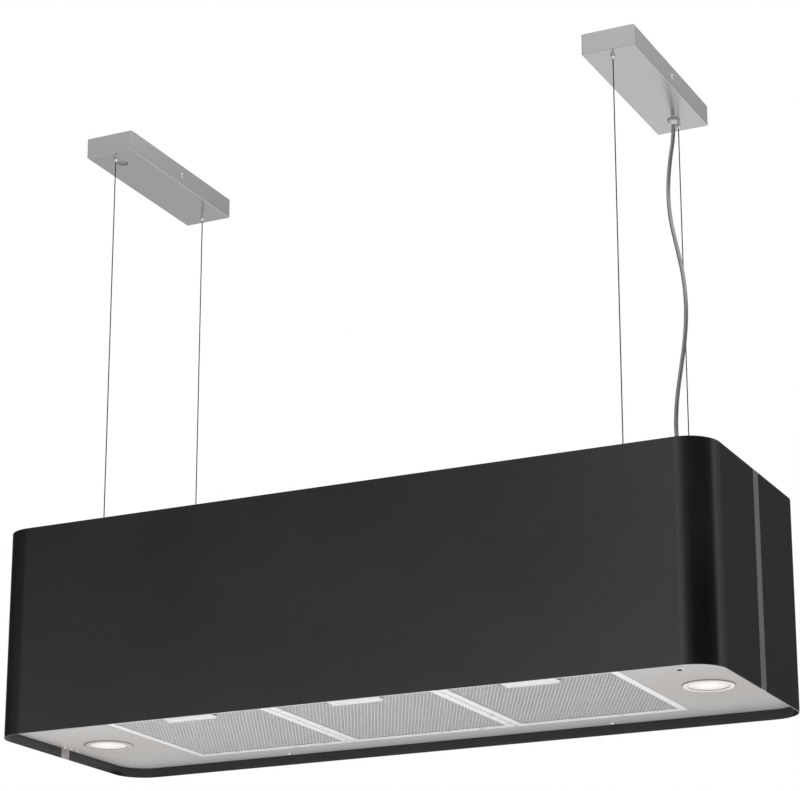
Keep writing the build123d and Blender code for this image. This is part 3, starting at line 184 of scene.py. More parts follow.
class Nodes:
    """A node tree with short ways to add to it."""

    def __init__(self, tree):
        self.tree = tree

    def feed(self, socket, value):
        """Link a socket to a node's output, or set its own value."""
        if isinstance(value, bpy.types.NodeSocket):
            self.tree.links.new(value, socket)
        else:
            socket.default_value = value

    def add(self, kind, links=None, **settings):
        node = self.tree.nodes.new(kind)
        for name, value in settings.items():
            setattr(node, name, value)
        for socket, value in (links or {}).items():
            self.feed(node.inputs[socket], value)
        return node

    def out(self, kind, links=None, output=0, **settings):
        """One output of a new node, the first unless another is named."""
        return self.add(kind, links, **settings).outputs[output]

    def maths(self, operation, *values):
        return self.out("ShaderNodeMath", dict(enumerate(values)), operation=operation)

    def axes(self, place):
        return self.add("ShaderNodeSeparateXYZ", {"Vector": place}).outputs

    def spread(self, value, low, high, start=0.3, end=0.7):
        """Value carried from the range start to end over to the range low to high."""
        links = {"Value": value, "From Min": start, "From Max": end, "To Min": low, "To Max": high}
        return self.out("ShaderNodeMapRange", links)

    def shades(self, value, stops, interpolation="LINEAR"):
        """Colour ramp through (position, colour) stops."""
        ramp = self.add("ShaderNodeValToRGB", {"Fac": value})
        ramp.color_ramp.interpolation = interpolation
        elements = ramp.color_ramp.elements
        while len(elements) < len(stops):
            elements.new(0.5)
        for element, (position, shade) in zip(elements, stops):
            element.position = position
            element.color = (*shade, 1)
        return ramp.outputs["Color"]

    def tint(self, factor, first, second, mode="MIX"):
        """Mix of two colours, at sockets that the node tells apart by number alone."""
        links = {0: factor, 6: first, 7: second}
        return self.out("ShaderNodeMix", links, 2, data_type="RGBA", blend_type=mode)

    def either(self, factor, first, second):
        """Mix of two shaders."""
        return self.out("ShaderNodeMixShader", {"Fac": factor, 1: first, 2: second})


class Finish(Nodes):
    """A procedural material on Object coordinates around one Principled shader."""

    def __init__(self, name, **constants):
        self.material = bpy.data.materials.new(name)
        self.material.use_nodes = True
        super().__init__(self.material.node_tree)
        self.shader = self.tree.nodes["Principled BSDF"]
        for key, value in constants.items():
            socket = self.shader.inputs[socket_name(key)]
            socket.default_value = (*value, 1) if isinstance(value, tuple) else value
        self.place = self.out("ShaderNodeTexCoord", output="Object")

    def noise(self, density, detail=2.0, seed=0.0):
        """Soft noise of so many cells per metre, alike along all axes or given for each."""
        scale = density if isinstance(density, tuple) else (density, density, density)
        place = self.out("ShaderNodeMapping", {"Vector": self.place, "Scale": scale})
        links = {"Vector": place, "W": seed, "Scale": 1.0, "Detail": detail}
        return self.out("ShaderNodeTexNoise", links, "Fac", noise_dimensions="4D")

    def cells(self, density, output="Distance", feature="F1"):
        links = {"Vector": self.place, "Scale": density}
        return self.out("ShaderNodeTexVoronoi", links, output, feature=feature)

    def weighed(self, first, second, share):
        """First value by its share, and the second by the rest."""
        return self.maths(
            "ADD", self.maths("MULTIPLY", first, share), self.maths("MULTIPLY", second, 1 - share))

    def vary(self, value, tone, amount):
        """Tone made darker and lighter by a share, as the value goes through its middle range."""
        light = tuple(min(1.0, part) for part in scaled(tone, 1 + amount))
        return self.shades(value, ((0.3, scaled(tone, 1 - amount)), (0.7, light)))

    def relief(self, height, share, depth):
        return self.out("ShaderNodeBump", {"Height": height, "Strength": share, "Distance": depth}, "Normal")

    def join(self, **sockets):
        """Link sockets to the shader and give back the material."""
        for key, value in sockets.items():
            self.tree.links.new(value, self.shader.inputs[socket_name(key)])
        return self.material

    def lamp_distance(self):
        """Distance in plan from the nearer lamp's axis."""
        x, y, _ = self.axes(self.place)
        along = self.maths("SUBTRACT", self.maths("ABSOLUTE", x), LAMP_X)
        squares = (self.maths("MULTIPLY", side, side) for side in (along, y))
        return self.maths("SQRT", self.maths("ADD", *squares))


def enamel(name, tone):
    """Satin stove enamel with a faint orange-peel relief."""
    finish = Finish(name, specular_ior_level=0.75)
    cloud = finish.noise(7, detail=3)
    peel = finish.noise(650, detail=1, seed=2)
    speck = finish.noise(2400, detail=1, seed=5)
    mottle = finish.maths("ADD", cloud, finish.maths("MULTIPLY", speck, 0.25))
    return finish.join(
        base_color=finish.vary(cloud, tone, 0.14),
        roughness=finish.spread(mottle, 0.13, 0.20, 0.4, 0.9),
        normal=finish.relief(peel, 0.08, 0.0004))


def brushed(name, tone, grain, rough, knockout=None):
    """Brushed sheet: long fine scratches along the axis without grain, and painted shade on a knock-out disc
    and its edge.
    """
    finish = Finish(name, metallic=1.0)
    fine = finish.noise(tuple(1900 if across else 9 for across in grain))
    broad = finish.noise(tuple(160 if across else 3 for across in grain), seed=3)
    cloud = finish.noise(5, seed=7)
    scratches = finish.weighed(fine, broad, 0.65)
    steel = finish.vary(scratches, tone, 0.04)
    if knockout:
        plan = finish.out("ShaderNodeVectorMath", {0: finish.place, 1: (1, 1, 0)}, operation="MULTIPLY")
        links = {0: plan, 1: (*knockout, 0)}
        away = finish.out("ShaderNodeVectorMath", links, "Value", operation="DISTANCE")
        # Painted shade: the knock-out disc darker and its sheared edge darker still, as the recess's shadow.
        knockout_shade = finish.shades(finish.spread(away, 0.0, 1.0, 0.0, KNOCKOUT_REACH), greys(KNOCKOUT_SHADE_LEVELS))
        steel = finish.tint(1.0, steel, knockout_shade, "MULTIPLY")
    return finish.join(
        base_color=steel,
        roughness=finish.spread(finish.weighed(scratches, cloud, 0.7), rough - 0.06, rough + 0.06),
        normal=finish.relief(scratches, 0.02, 0.0003))


def panel_steel(name, tone, glow):
    """Fine brushed stainless sheet with the lamps' warm light painted round each lamp."""
    finish = Finish(name, metallic=0.1, specular_ior_level=0.3)
    fine = finish.noise((9, 1900, 1900))
    broad = finish.noise((3, 160, 160), seed=3)
    scratches = finish.weighed(fine, broad, 0.6)
    # Painted light: a warm pool round each lamp in the base colour.
    near_lamp = finish.spread(finish.lamp_distance(), 1.0, 0.0, *PANEL_GLOW)
    warm = (*(part * light * light for part, light in zip(tone, glow)), 1)
    return finish.join(
        base_color=finish.tint(near_lamp, finish.vary(scratches, tone, 0.04), warm),
        roughness=finish.spread(scratches, 0.36, 0.46),
        normal=finish.relief(scratches, 0.04, 0.0003))


def rolled(name, tone, rough, metallic=1.0, density=(14, 420, 420)):
    """Rolled aluminium with soft streaks."""
    finish = Finish(name, metallic=metallic)
    streak = finish.noise(density, detail=3)
    cloud = finish.noise(30, seed=4)
    mixed = finish.weighed(streak, cloud, 0.5)
    return finish.join(
        base_color=finish.vary(mixed, tone, 0.03),
        roughness=finish.spread(mixed, rough - 0.06, rough + 0.06),
        normal=finish.relief(streak, 0.03, 0.0002))


def plated(name, tone, rough=0.14):
    """Bright plated or turned metal with fine machining marks."""
    finish = Finish(name, metallic=1.0)
    marks = finish.noise((500, 500, 2600))
    film = finish.noise(60, detail=3, seed=6)
    return finish.join(
        base_color=finish.vary(film, tone, 0.06),
        roughness=finish.spread(marks, rough - 0.04, rough + 0.08),
        normal=finish.relief(marks, 0.05, 0.0001))


def galvanised(name, tone):
    """Zinc-coated sheet with crystal spangle."""
    finish = Finish(name, metallic=0.7)
    spangle = finish.out("ShaderNodeRGBToBW", {"Color": finish.cells(130, "Color")})
    frost = finish.noise(350, detail=3, seed=2)
    return finish.join(
        base_color=finish.shades(spangle, ((0.2, scaled(tone, 0.90)), (0.8, scaled(tone, 1.06)))),
        roughness=finish.spread(finish.weighed(spangle, frost, 0.6), 0.34, 0.52),
        normal=finish.relief(frost, 0.08, 0.0003))


def moulded(name, tone, rough=0.5, grain=900.0):
    """Moulded plastic with a fine spark-eroded grain."""
    finish = Finish(name, specular_ior_level=0.5)
    skin = finish.noise(grain)
    cloud = finish.noise(18, seed=3)
    return finish.join(
        base_color=finish.vary(cloud, tone, 0.08),
        roughness=finish.spread(finish.weighed(skin, cloud, 0.6), rough - 0.08, rough + 0.08),
        normal=finish.relief(skin, 0.15, 0.0003))


def mesh_pack(name, tone):
    """Deeper layers of the mesh pack: diamond cells painted dark as shade under the front layer, with
    painted light on the strands between.
    """
    finish = Finish(name, metallic=0.3)
    web = finish.cells(420, feature="DISTANCE_TO_EDGE")
    depth = finish.noise(130, seed=1)
    # Painted light on the cell edges and painted shade in the cell middles.
    lit = finish.spread(web, 1.0, 0.0, 0.02, 0.3)
    layers = finish.weighed(lit, depth, 0.75)
    return finish.join(
        base_color=finish.shades(layers, ((0.1, scaled(tone, 0.22)), (0.9, scaled(tone, 0.8)))),
        roughness=finish.spread(depth, 0.4, 0.6),
        normal=finish.relief(lit, 0.6, 0.0008))


def lamp_glass(name, glow, power):
    """Frosted lamp glass, lit from behind, brightest in the middle and ribbed in rings."""
    finish = Finish(name, base_color=(0.12, 0.115, 0.11), roughness=0.4, emission_strength=power)
    away = finish.lamp_distance()
    rings = finish.maths("SINE", finish.maths("MULTIPLY", away, 2600.0))
    frost = finish.noise(1500)
    edge = 0.35
    falloff = finish.spread(away, 1.0, edge, *GLASS_FADE)
    shaded = finish.maths("MULTIPLY", falloff, finish.spread(rings, 0.93, 1.0, -1.0, 1.0))
    dim = tuple(part * share for part, share in zip(glow, (0.74, 0.71, 0.70)))
    return finish.join(
        emission_color=finish.shades(shaded, ((edge, dim), (1.0, glow))),
        normal=finish.relief(frost, 0.1, 0.0002))


def lamp_ring(name, tone):
    """Plated lamp ring with painted shade along its outer step and a dark band of painted shade, as in a
    groove, round the glass.
    """
    finish = Finish(name, metallic=1.0)
    outwards = finish.spread(finish.lamp_distance(), 0.0, 1.0, *RING_BAND)
    film = finish.noise(60, detail=3, seed=6)
    # Painted shade: the dark bands at the ring's outer step and round the glass.
    dark = scaled(tone, 0.22)
    return finish.join(
        base_color=finish.shades(outwards, ((0.10, dark), (0.26, tone), (0.70, tone), (0.88, dark))),
        roughness=finish.spread(film, 0.14, 0.24))


def dark_window(name):
    """Dark green translucent window of the sensor."""
    finish = Finish(name, specular_ior_level=0.4)
    cloud = finish.noise(300)
    return finish.join(
        base_color=finish.shades(cloud, ((0.3, (0.004, 0.014, 0.010)), (0.7, (0.010, 0.034, 0.024)))),
        roughness=finish.spread(cloud, 0.25, 0.35))


def sheath(name, tone):
    """Smooth silvery cable sheath with faint extrusion lines."""
    finish = Finish(name, metallic=0.75)
    lines = finish.noise((1200, 1200, 6))
    cloud = finish.noise((40, 40, 25), seed=4)
    return finish.join(
        base_color=finish.vary(cloud, tone, 0.12),
        roughness=finish.spread(lines, 0.16, 0.28),
        normal=finish.relief(lines, 0.08, 0.0002))


def bush_plastic(name, cover_level):
    """Cable bush: pale moulded taper under a dark flange, the pale taper a painted highlight and the dark
    flange painted shade.
    """
    finish = Finish(name, specular_ior_level=0.6)
    skin = finish.noise(1100)
    height = finish.axes(finish.place)["Z"]
    # Painted highlight on the taper and painted shade on the flange, split at the flange's height.
    flange = finish.spread(height, 0.0, 1.0, cover_level - 0.0016, cover_level - 0.0011)
    return finish.join(
        base_color=finish.shades(flange, ((0.2, (0.78, 0.78, 0.77)), (0.8, (0.34, 0.34, 0.345)))),
        roughness=finish.spread(skin, 0.16, 0.30),
        normal=finish.relief(skin, 0.1, 0.0002))


def charcoal(name):
    """Black cartridge whose face shows packed grains."""
    finish = Finish(name, specular_ior_level=0.4)
    grain = finish.cells(420)
    return finish.join(
        base_color=finish.shades(grain, ((0.1, (0.032, 0.032, 0.033)), (0.7, (0.011, 0.011, 0.012)))),
        roughness=finish.spread(grain, 0.45, 0.75, 0.0, 0.8),
        normal=finish.relief(grain, 0.5, 0.0008))


def hammered(name, tone):
    """Hammered grey enamel of the motor."""
    finish = Finish(name, metallic=0.3)
    dents = finish.cells(210, feature="SMOOTH_F1")
    return finish.join(
        base_color=finish.vary(dents, tone, 0.15),
        roughness=finish.spread(dents, 0.32, 0.48, 0.0, 0.8),
        normal=finish.relief(dents, 0.35, 0.0008))


def dress(material, *nodes):
    """Give CAD nodes one material."""
    for node in nodes:
        mesh = NODES[node].data
        mesh.materials.clear()
        mesh.materials.append(material)


def link(name, data):
    made = bpy.data.objects.new(name, data)
    bpy.context.scene.collection.objects.link(made)
    return made


class Tree(Nodes):
    """A geometry node tree with named inputs, made into a plain mesh at the end."""

    KINDS = {float: "NodeSocketFloat", int: "NodeSocketInt", tuple: "NodeSocketVector"}

    def __init__(self, name, **inputs):
        super().__init__(bpy.data.node_groups.new(name, "GeometryNodeTree"))
        face = self.tree.interface
        face.new_socket("Geometry", in_out="INPUT", socket_type="NodeSocketGeometry")
        face.new_socket("Geometry", in_out="OUTPUT", socket_type="NodeSocketGeometry")
        self.values = {}
        for key, value in inputs.items():
            kind = self.KINDS[type(value)]
            socket = face.new_socket(socket_name(key), in_out="INPUT", socket_type=kind)
            self.values[socket.identifier] = value
        self.source = self.tree.nodes.new("NodeGroupInput")

    def given(self, key):
        return self.source.outputs[socket_name(key)]

    def vector(self, **parts):
        return self.out("ShaderNodeCombineXYZ", parts)

    def index(self):
        return self.out("GeometryNodeInputIndex")

    def at_odd(self, key):
        """A given size at every second point, and 0 at the others."""
        return self.maths("MULTIPLY", self.maths("MODULO", self.index(), 2.0), self.given(key))

    def row(self, count, **step):
        """Points in a line, a step apart."""
        return self.out("GeometryNodeMeshLine", {"Count": count, "Offset": self.vector(**step)})

    def moved(self, geometry, offset):
        return self.out("GeometryNodeSetPosition", {"Geometry": geometry, "Offset": offset})

    def set_down(self, geometry, **place):
        return self.out("GeometryNodeTransform", {"Geometry": geometry, **place})

    def swept(self, path, section, capped):
        links = {"Curve": path, "Profile Curve": section, "Fill Caps": capped}
        return self.out("GeometryNodeCurveToMesh", links)

    def copies(self, points, instance, **turns):
        """Copies of an instance at points, turned and scaled where that is given."""
        return self.out("GeometryNodeInstanceOnPoints", {"Points": points, "Instance": instance, **turns})

    def realized(self, instances):
        return self.out("GeometryNodeRealizeInstances", {"Geometry": instances})

    def linked(self, kind, socket, *geometries, **settings):
        """A node that takes several geometries at one socket."""
        node = self.add(kind, **settings)
        for geometry in geometries:
            self.tree.links.new(geometry, node.inputs[socket])
        return node

    def finish(self, geometry, material, smooth=True):
        """Realize, shade and colour the result."""
        real = self.realized(geometry)
        shaded = self.out("GeometryNodeSetShadeSmooth", {"Geometry": real, "Shade Smooth": smooth})
        painted = self.out("GeometryNodeSetMaterial", {"Geometry": shaded, "Material": material})
        self.add("NodeGroupOutput", {"Geometry": painted})

    def make(self, name, base=None):
        """Run the tree on a base mesh and keep its result as a plain object."""
        made = link(name, base or bpy.data.meshes.new(name))
        modifier = made.modifiers.new(name, "NODES")
        modifier.node_group = self.tree
        for identifier, value in self.values.items():
            modifier[identifier] = value
        bpy.context.view_layer.update()
        evaluated = made.evaluated_get(bpy.context.evaluated_depsgraph_get())
        mesh = bpy.data.meshes.new_from_object(evaluated)
        made.modifiers.remove(modifier)
        made.data = mesh
        mesh.name = name
        if not mesh.polygons:
            raise RuntimeError(f"{name} came out empty")
        return made


def welded(node):
    """Copy of a CAD node's mesh with its loose corners merged."""
    copy = bmesh.new()
    copy.from_mesh(NODES[node].data)
    bmesh.ops.remove_doubles(copy, verts=copy.verts, dist=WELD)
    return copy


def kept(copy, mesh):
    """Write an edited copy into a mesh."""
    copy.to_mesh(mesh)
    copy.free()
    return mesh


def islands(node):
    """Box of each separate solid of a CAD node, from left to right."""
    copy = welded(node)
    boxes = []
    left = set(copy.verts)
    while left:
        found = [left.pop()]
        for vert in found:
            near = {edge.other_vert(vert) for edge in vert.link_edges} & left
            left -= near
            found += near
        places = [vert.co for vert in found]
        boxes.append(tuple(Vector(end(co[i] for co in places) for i in range(3)) for end in (min, max)))
    copy.free()
    return sorted(boxes, key=lambda box: tuple(box[0]))


class HOOD_OT_power_cable(bpy.types.Operator):
    """Hang the power cable along its route from the right ceiling cover to the deck"""

    bl_idname = "hood.power_cable"
    bl_label = "Power cable"

    def execute(self, context):
        finishes = context.scene.hood_finishes
        curve = bpy.data.curves.new("power_cable_line", "CURVE")
        curve.dimensions = "3D"
        spline = curve.splines.new("NURBS")
        spline.points.add(len(CABLE_ROUTE) - 1)
        for point, place in zip(spline.points, CABLE_ROUTE):
            point.co = (*place, 1)
        spline.order_u = 3
        spline.use_endpoint_u = True
        spline.resolution_u = 12
        curve.bevel_depth = CABLE_DIAMETER / 2
        curve.bevel_resolution = 5
        curve.use_fill_caps = True
        curve.materials.append(sheath("cable_sheath_gloss", finishes.cable_sheath))
        cable = link("power_cable_hung", curve)
        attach(cable, "hood")
        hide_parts("power_cable")
        dress(bush_plastic("cable_bush_plastic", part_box("ceiling_cover_right")[0].z), "cable_bush")
        dress(moulded("cable_gland_plastic", (0.42, 0.42, 0.43), rough=0.34, grain=1100), "cable_gland")
        dress(moulded("terminal_plastic", (0.74, 0.73, 0.69), rough=0.38), "terminal_block")
        return {"FINISHED"}


class HOOD_OT_body_shells(bpy.types.Operator):
    """Finish the black body shells, the bright end strips and the deck with its grille"""

    bl_idname = "hood.body_shells"
    bl_label = "Body shells"

    def execute(self, context):
        finishes = context.scene.hood_finishes
        dress(enamel("black_enamel", finishes.enamel), "front_shell", "rear_shell")
        dress(enamel("grille_enamel", (0.02, 0.02, 0.021)), "outlet_grille")
        strip_steel = brushed("trim_brushed", finishes.trim_steel, grain=(1, 1, 0), rough=0.32)
        dress(strip_steel, *(f"end_trim_{side}" for side in SIDES))
        dress(
            galvanised("zinc_spangle", finishes.zinc), "top_deck", "panel_rail_front", "panel_rail_rear",
            "blower_casing", "blower_cover", "filter_hinge_lugs")
        return {"FINISHED"}


class HOOD_OT_ceiling_fittings(bpy.types.Operator):
    """Finish the ceiling covers, their brackets and the wire fittings"""

    bl_idname = "hood.ceiling_fittings"
    bl_label = "Ceiling fittings"

    def execute(self, context):
        finishes = context.scene.hood_finishes
        tone = finishes.cover_steel
        for side, disc in zip(SIDES, (KNOCKOUT, None)):
            steel = brushed(f"cover_brushed_{side}", tone, grain=(0, 1, 1), rough=0.23, knockout=disc)
            dress(steel, f"ceiling_cover_{side}")
        dress(galvanised("bracket_zinc", finishes.zinc), *(f"ceiling_bracket_{side}" for side in SIDES))
        dress(
            plated("nickel_plate", (0.68, 0.67, 0.65)), "wire_ferrules", "wire_grippers",
            *(f"release_collar_{corner}" for corner in CORNERS))
        return {"FINISHED"}


class HOOD_OT_suspension_wires(bpy.types.Operator):
    """Lay the strands of the four suspension wires"""

    bl_idname = "hood.suspension_wires"
    bl_label = "Suspension wires"

    # Radius of a strand as a share of the wire's.
    STRAND_SHARE = 0.36

    def execute(self, context):
        repeats = context.scene.hood_repeats
        low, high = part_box("suspension_wires")
        wire_low, wire_high = islands("suspension_wires")[0]
        tall = high.z - low.z
        radius = (wire_high.x - wire_low.x) / 2
        strand = radius * self.STRAND_SHARE
        tree = Tree(
            "wire_rope", length=tall, turns=tall / repeats.rope_lay, lay_radius=radius - strand,
            strand_radius=strand, strands=repeats.rope_strands, spacing_x=high.x - low.x - 2 * radius,
            spacing_y=high.y - low.y - 2 * radius, foot=(0.0, 0.0, low.z))

        def section(sides):
            return tree.out("GeometryNodeCurvePrimitiveCircle", {
                "Resolution": sides, "Radius": tree.given("strand_radius")})

        helix = tree.out("GeometryNodeCurveSpiral", {
            "Resolution": 8, "Rotations": tree.given("turns"), "Start Radius": tree.given("lay_radius"),
            "End Radius": tree.given("lay_radius"), "Height": tree.given("length")})
        strand_line = tree.swept(helix, section(5), capped=True)
        starts = tree.row(tree.given("strands"))
        turn = tree.maths("DIVIDE", tree.maths("MULTIPLY", tree.index(), 2 * math.pi), tree.given("strands"))
        laid = tree.copies(starts, strand_line, Rotation=tree.vector(Z=turn))
        middle = tree.out("GeometryNodeCurvePrimitiveLine", {"End": tree.vector(Z=tree.given("length"))})
        core = tree.swept(middle, section(6), capped=True)
        wire = tree.linked("GeometryNodeJoinGeometry", "Geometry", laid, core).outputs[0]
        corners = tree.out("GeometryNodeMeshGrid", {
            "Size X": tree.given("spacing_x"), "Size Y": tree.given("spacing_y"),
            "Vertices X": 2, "Vertices Y": 2})
        ropes = tree.copies(tree.moved(corners, tree.given("foot")), wire)
        tree.finish(ropes, plated("rope_steel", (0.11, 0.11, 0.115), rough=0.30))
        rope = tree.make("suspension_ropes")
        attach(rope, "hood")
        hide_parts("suspension_wires")
        return {"FINISHED"}


class HOOD_OT_underside(bpy.types.Operator):
    """Finish the underside panel, the filter frames, their bars and their latches"""

    bl_idname = "hood.underside"
    bl_label = "Underside"

    # Share of its depth that a leaf spring keeps behind a latch pulled to its end.
    LEAF_KEEP = 0.36
    SHARP_EDGE = math.radians(30)

    def leaf(self, name, metal):
        """Leaf spring behind a latch, copied in its CAD shape; a real one flattens as the latch is pulled,
        this copy does not.
        """
        node = f"latch_spring_{name}"
        mesh = kept(welded(node), bpy.data.meshes.new(f"latch_leaf_{name}"))
        mesh.shade_smooth()
        mesh.set_sharp_from_angle(angle=self.SHARP_EDGE)
        mesh.materials.append(metal)
        piece = link(f"latch_leaf_{name}", mesh)
        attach(piece, f"filter_{name}")
        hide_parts(node)
        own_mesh(piece)

    def execute(self, context):
        finishes = context.scene.hood_finishes
        dress(panel_steel("panel_brushed", finishes.panel_steel, finishes.lamp_glow), "underside_panel")
        frame_tone = finishes.filter_metal
        frame_metal = rolled("filter_frame_rolled", frame_tone, rough=0.3, metallic=0.2, density=60)
        handle_metal = rolled("latch_polished", (0.86, 0.86, 0.855), rough=0.2, metallic=0.4)
        spring_metal = plated("spring_strip", (0.46, 0.47, 0.50), rough=0.25)
        dress(frame_metal, "filter_cross_bars")
        for name in FILTERS:
            dress(frame_metal, f"filter_frame_{name}")
            dress(handle_metal, f"filter_latch_{name}")
            self.leaf(name, spring_metal)
        return {"FINISHED"}


class HOOD_OT_filter_meshes(bpy.types.Operator):
    """Stretch the expanded metal mesh over each filter's pack"""

    bl_idname = "hood.filter_meshes"
    bl_label = "Filter meshes"

    # In metres: a frame's border and how far the mesh goes under it, the room beside a latch and how much of
    # its rear end lies behind the mesh, and how far the deeper layers and every second strand are set back.
    BORDER = 0.011
    LIP = 0.001
    CLEAR = 0.0012
    LATCH_BEHIND = 0.006
    LAYER = 0.0013
    STEP_BACK = 0.0001
    # Height within which a corner of the pack is on its lower face.
    FLAT = 1e-5

    def front_layer(self, repeats, name, material):
        """Zigzag strands that touch at their corners and leave diamond cells."""
        low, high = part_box(f"filter_frame_{name}")
        pack_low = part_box(f"filter_mesh_{name}")[0].z
        latch_low, latch_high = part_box(f"filter_latch_{name}")
        border = self.BORDER - self.LIP
        wide = high.x - low.x - 2 * border
        deep = high.y - low.y - 2 * border
        step_x, step_y = repeats.cell_length / 2, repeats.cell_width / 2
        tree = Tree(
            "expanded_mesh", points=int(wide / step_x), rows=int(deep / step_y), step_x=step_x,
            step_y=step_y, strand_width=repeats.strand_width, strand_height=repeats.strand_height,
            corner=(low.x + border, low.y + border, pack_low + repeats.strand_height / 2),
            latch_x=(low.x + high.x) / 2, latch_half=(latch_high.x - latch_low.x) / 2 + self.CLEAR,
            latch_end=latch_high.y - self.LATCH_BEHIND, step_back=self.STEP_BACK)
        line = tree.row(tree.given("points"), X=tree.given("step_x"))
        zigzag = tree.moved(line, tree.vector(Y=tree.at_odd("step_y")))
        path = tree.out("GeometryNodeMeshToCurve", {"Mesh": zigzag})
        section = tree.out("GeometryNodeCurvePrimitiveQuadrilateral", {
            "Width": tree.given("strand_width"), "Height": tree.given("strand_height")})
        column = tree.row(tree.given("rows"), Y=tree.given("step_y"))
        shift = tree.vector(X=tree.at_odd("step_x"), Z=tree.at_odd("step_back"))
        starts = tree.moved(tree.moved(column, shift), tree.given("corner"))
        strands = tree.realized(tree.copies(starts, tree.swept(path, section, capped=False)))
        x, y, _ = tree.axes(tree.out("GeometryNodeInputPosition"))
        off = tree.maths("ABSOLUTE", tree.maths("SUBTRACT", x, tree.given("latch_x")))
        at_latch = tree.maths(
            "MULTIPLY", tree.maths("LESS_THAN", off, tree.given("latch_half")),
            tree.maths("LESS_THAN", y, tree.given("latch_end")))
        cut = tree.out("GeometryNodeDeleteGeometry", {"Geometry": strands, "Selection": at_latch})
        tree.finish(cut, material, smooth=False)
        layer = tree.make(f"filter_mesh_layers_{name}")
        closed = bmesh.new()
        closed.from_mesh(layer.data)
        ends = [edge for edge in closed.edges if edge.is_boundary]
        bmesh.ops.holes_fill(closed, edges=ends, sides=4)
        kept(closed, layer.data)
        return layer

    def deeper_layers(self, name, material):
        """Copy of the pack's solid, set back behind the front layer."""
        copy = welded(f"filter_mesh_{name}")
        lowest = min(vert.co.z for vert in copy.verts)
        for vert in copy.verts:
            if vert.co.z < lowest + self.FLAT:
                vert.co.z += self.LAYER
        mesh = kept(copy, bpy.data.meshes.new(f"filter_pack_{name}"))
        mesh.materials.append(material)
        return mesh

    def execute(self, context):
        tone = context.scene.hood_finishes.mesh_metal
        strand_metal = rolled("mesh_strand", tone, rough=0.36, metallic=0.3, density=60)
        pack_metal = mesh_pack("mesh_pack", tone)
        for name in FILTERS:
            layer = self.front_layer(context.scene.hood_repeats, name, strand_metal)
            pack = link(f"filter_pack_{name}", self.deeper_layers(name, pack_metal))
            with context.temp_override(active_object=layer, selected_editable_objects=[layer, pack]):
                bpy.ops.object.join()
            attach(layer, f"filter_{name}")
            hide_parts(f"filter_mesh_{name}")
        return {"FINISHED"}


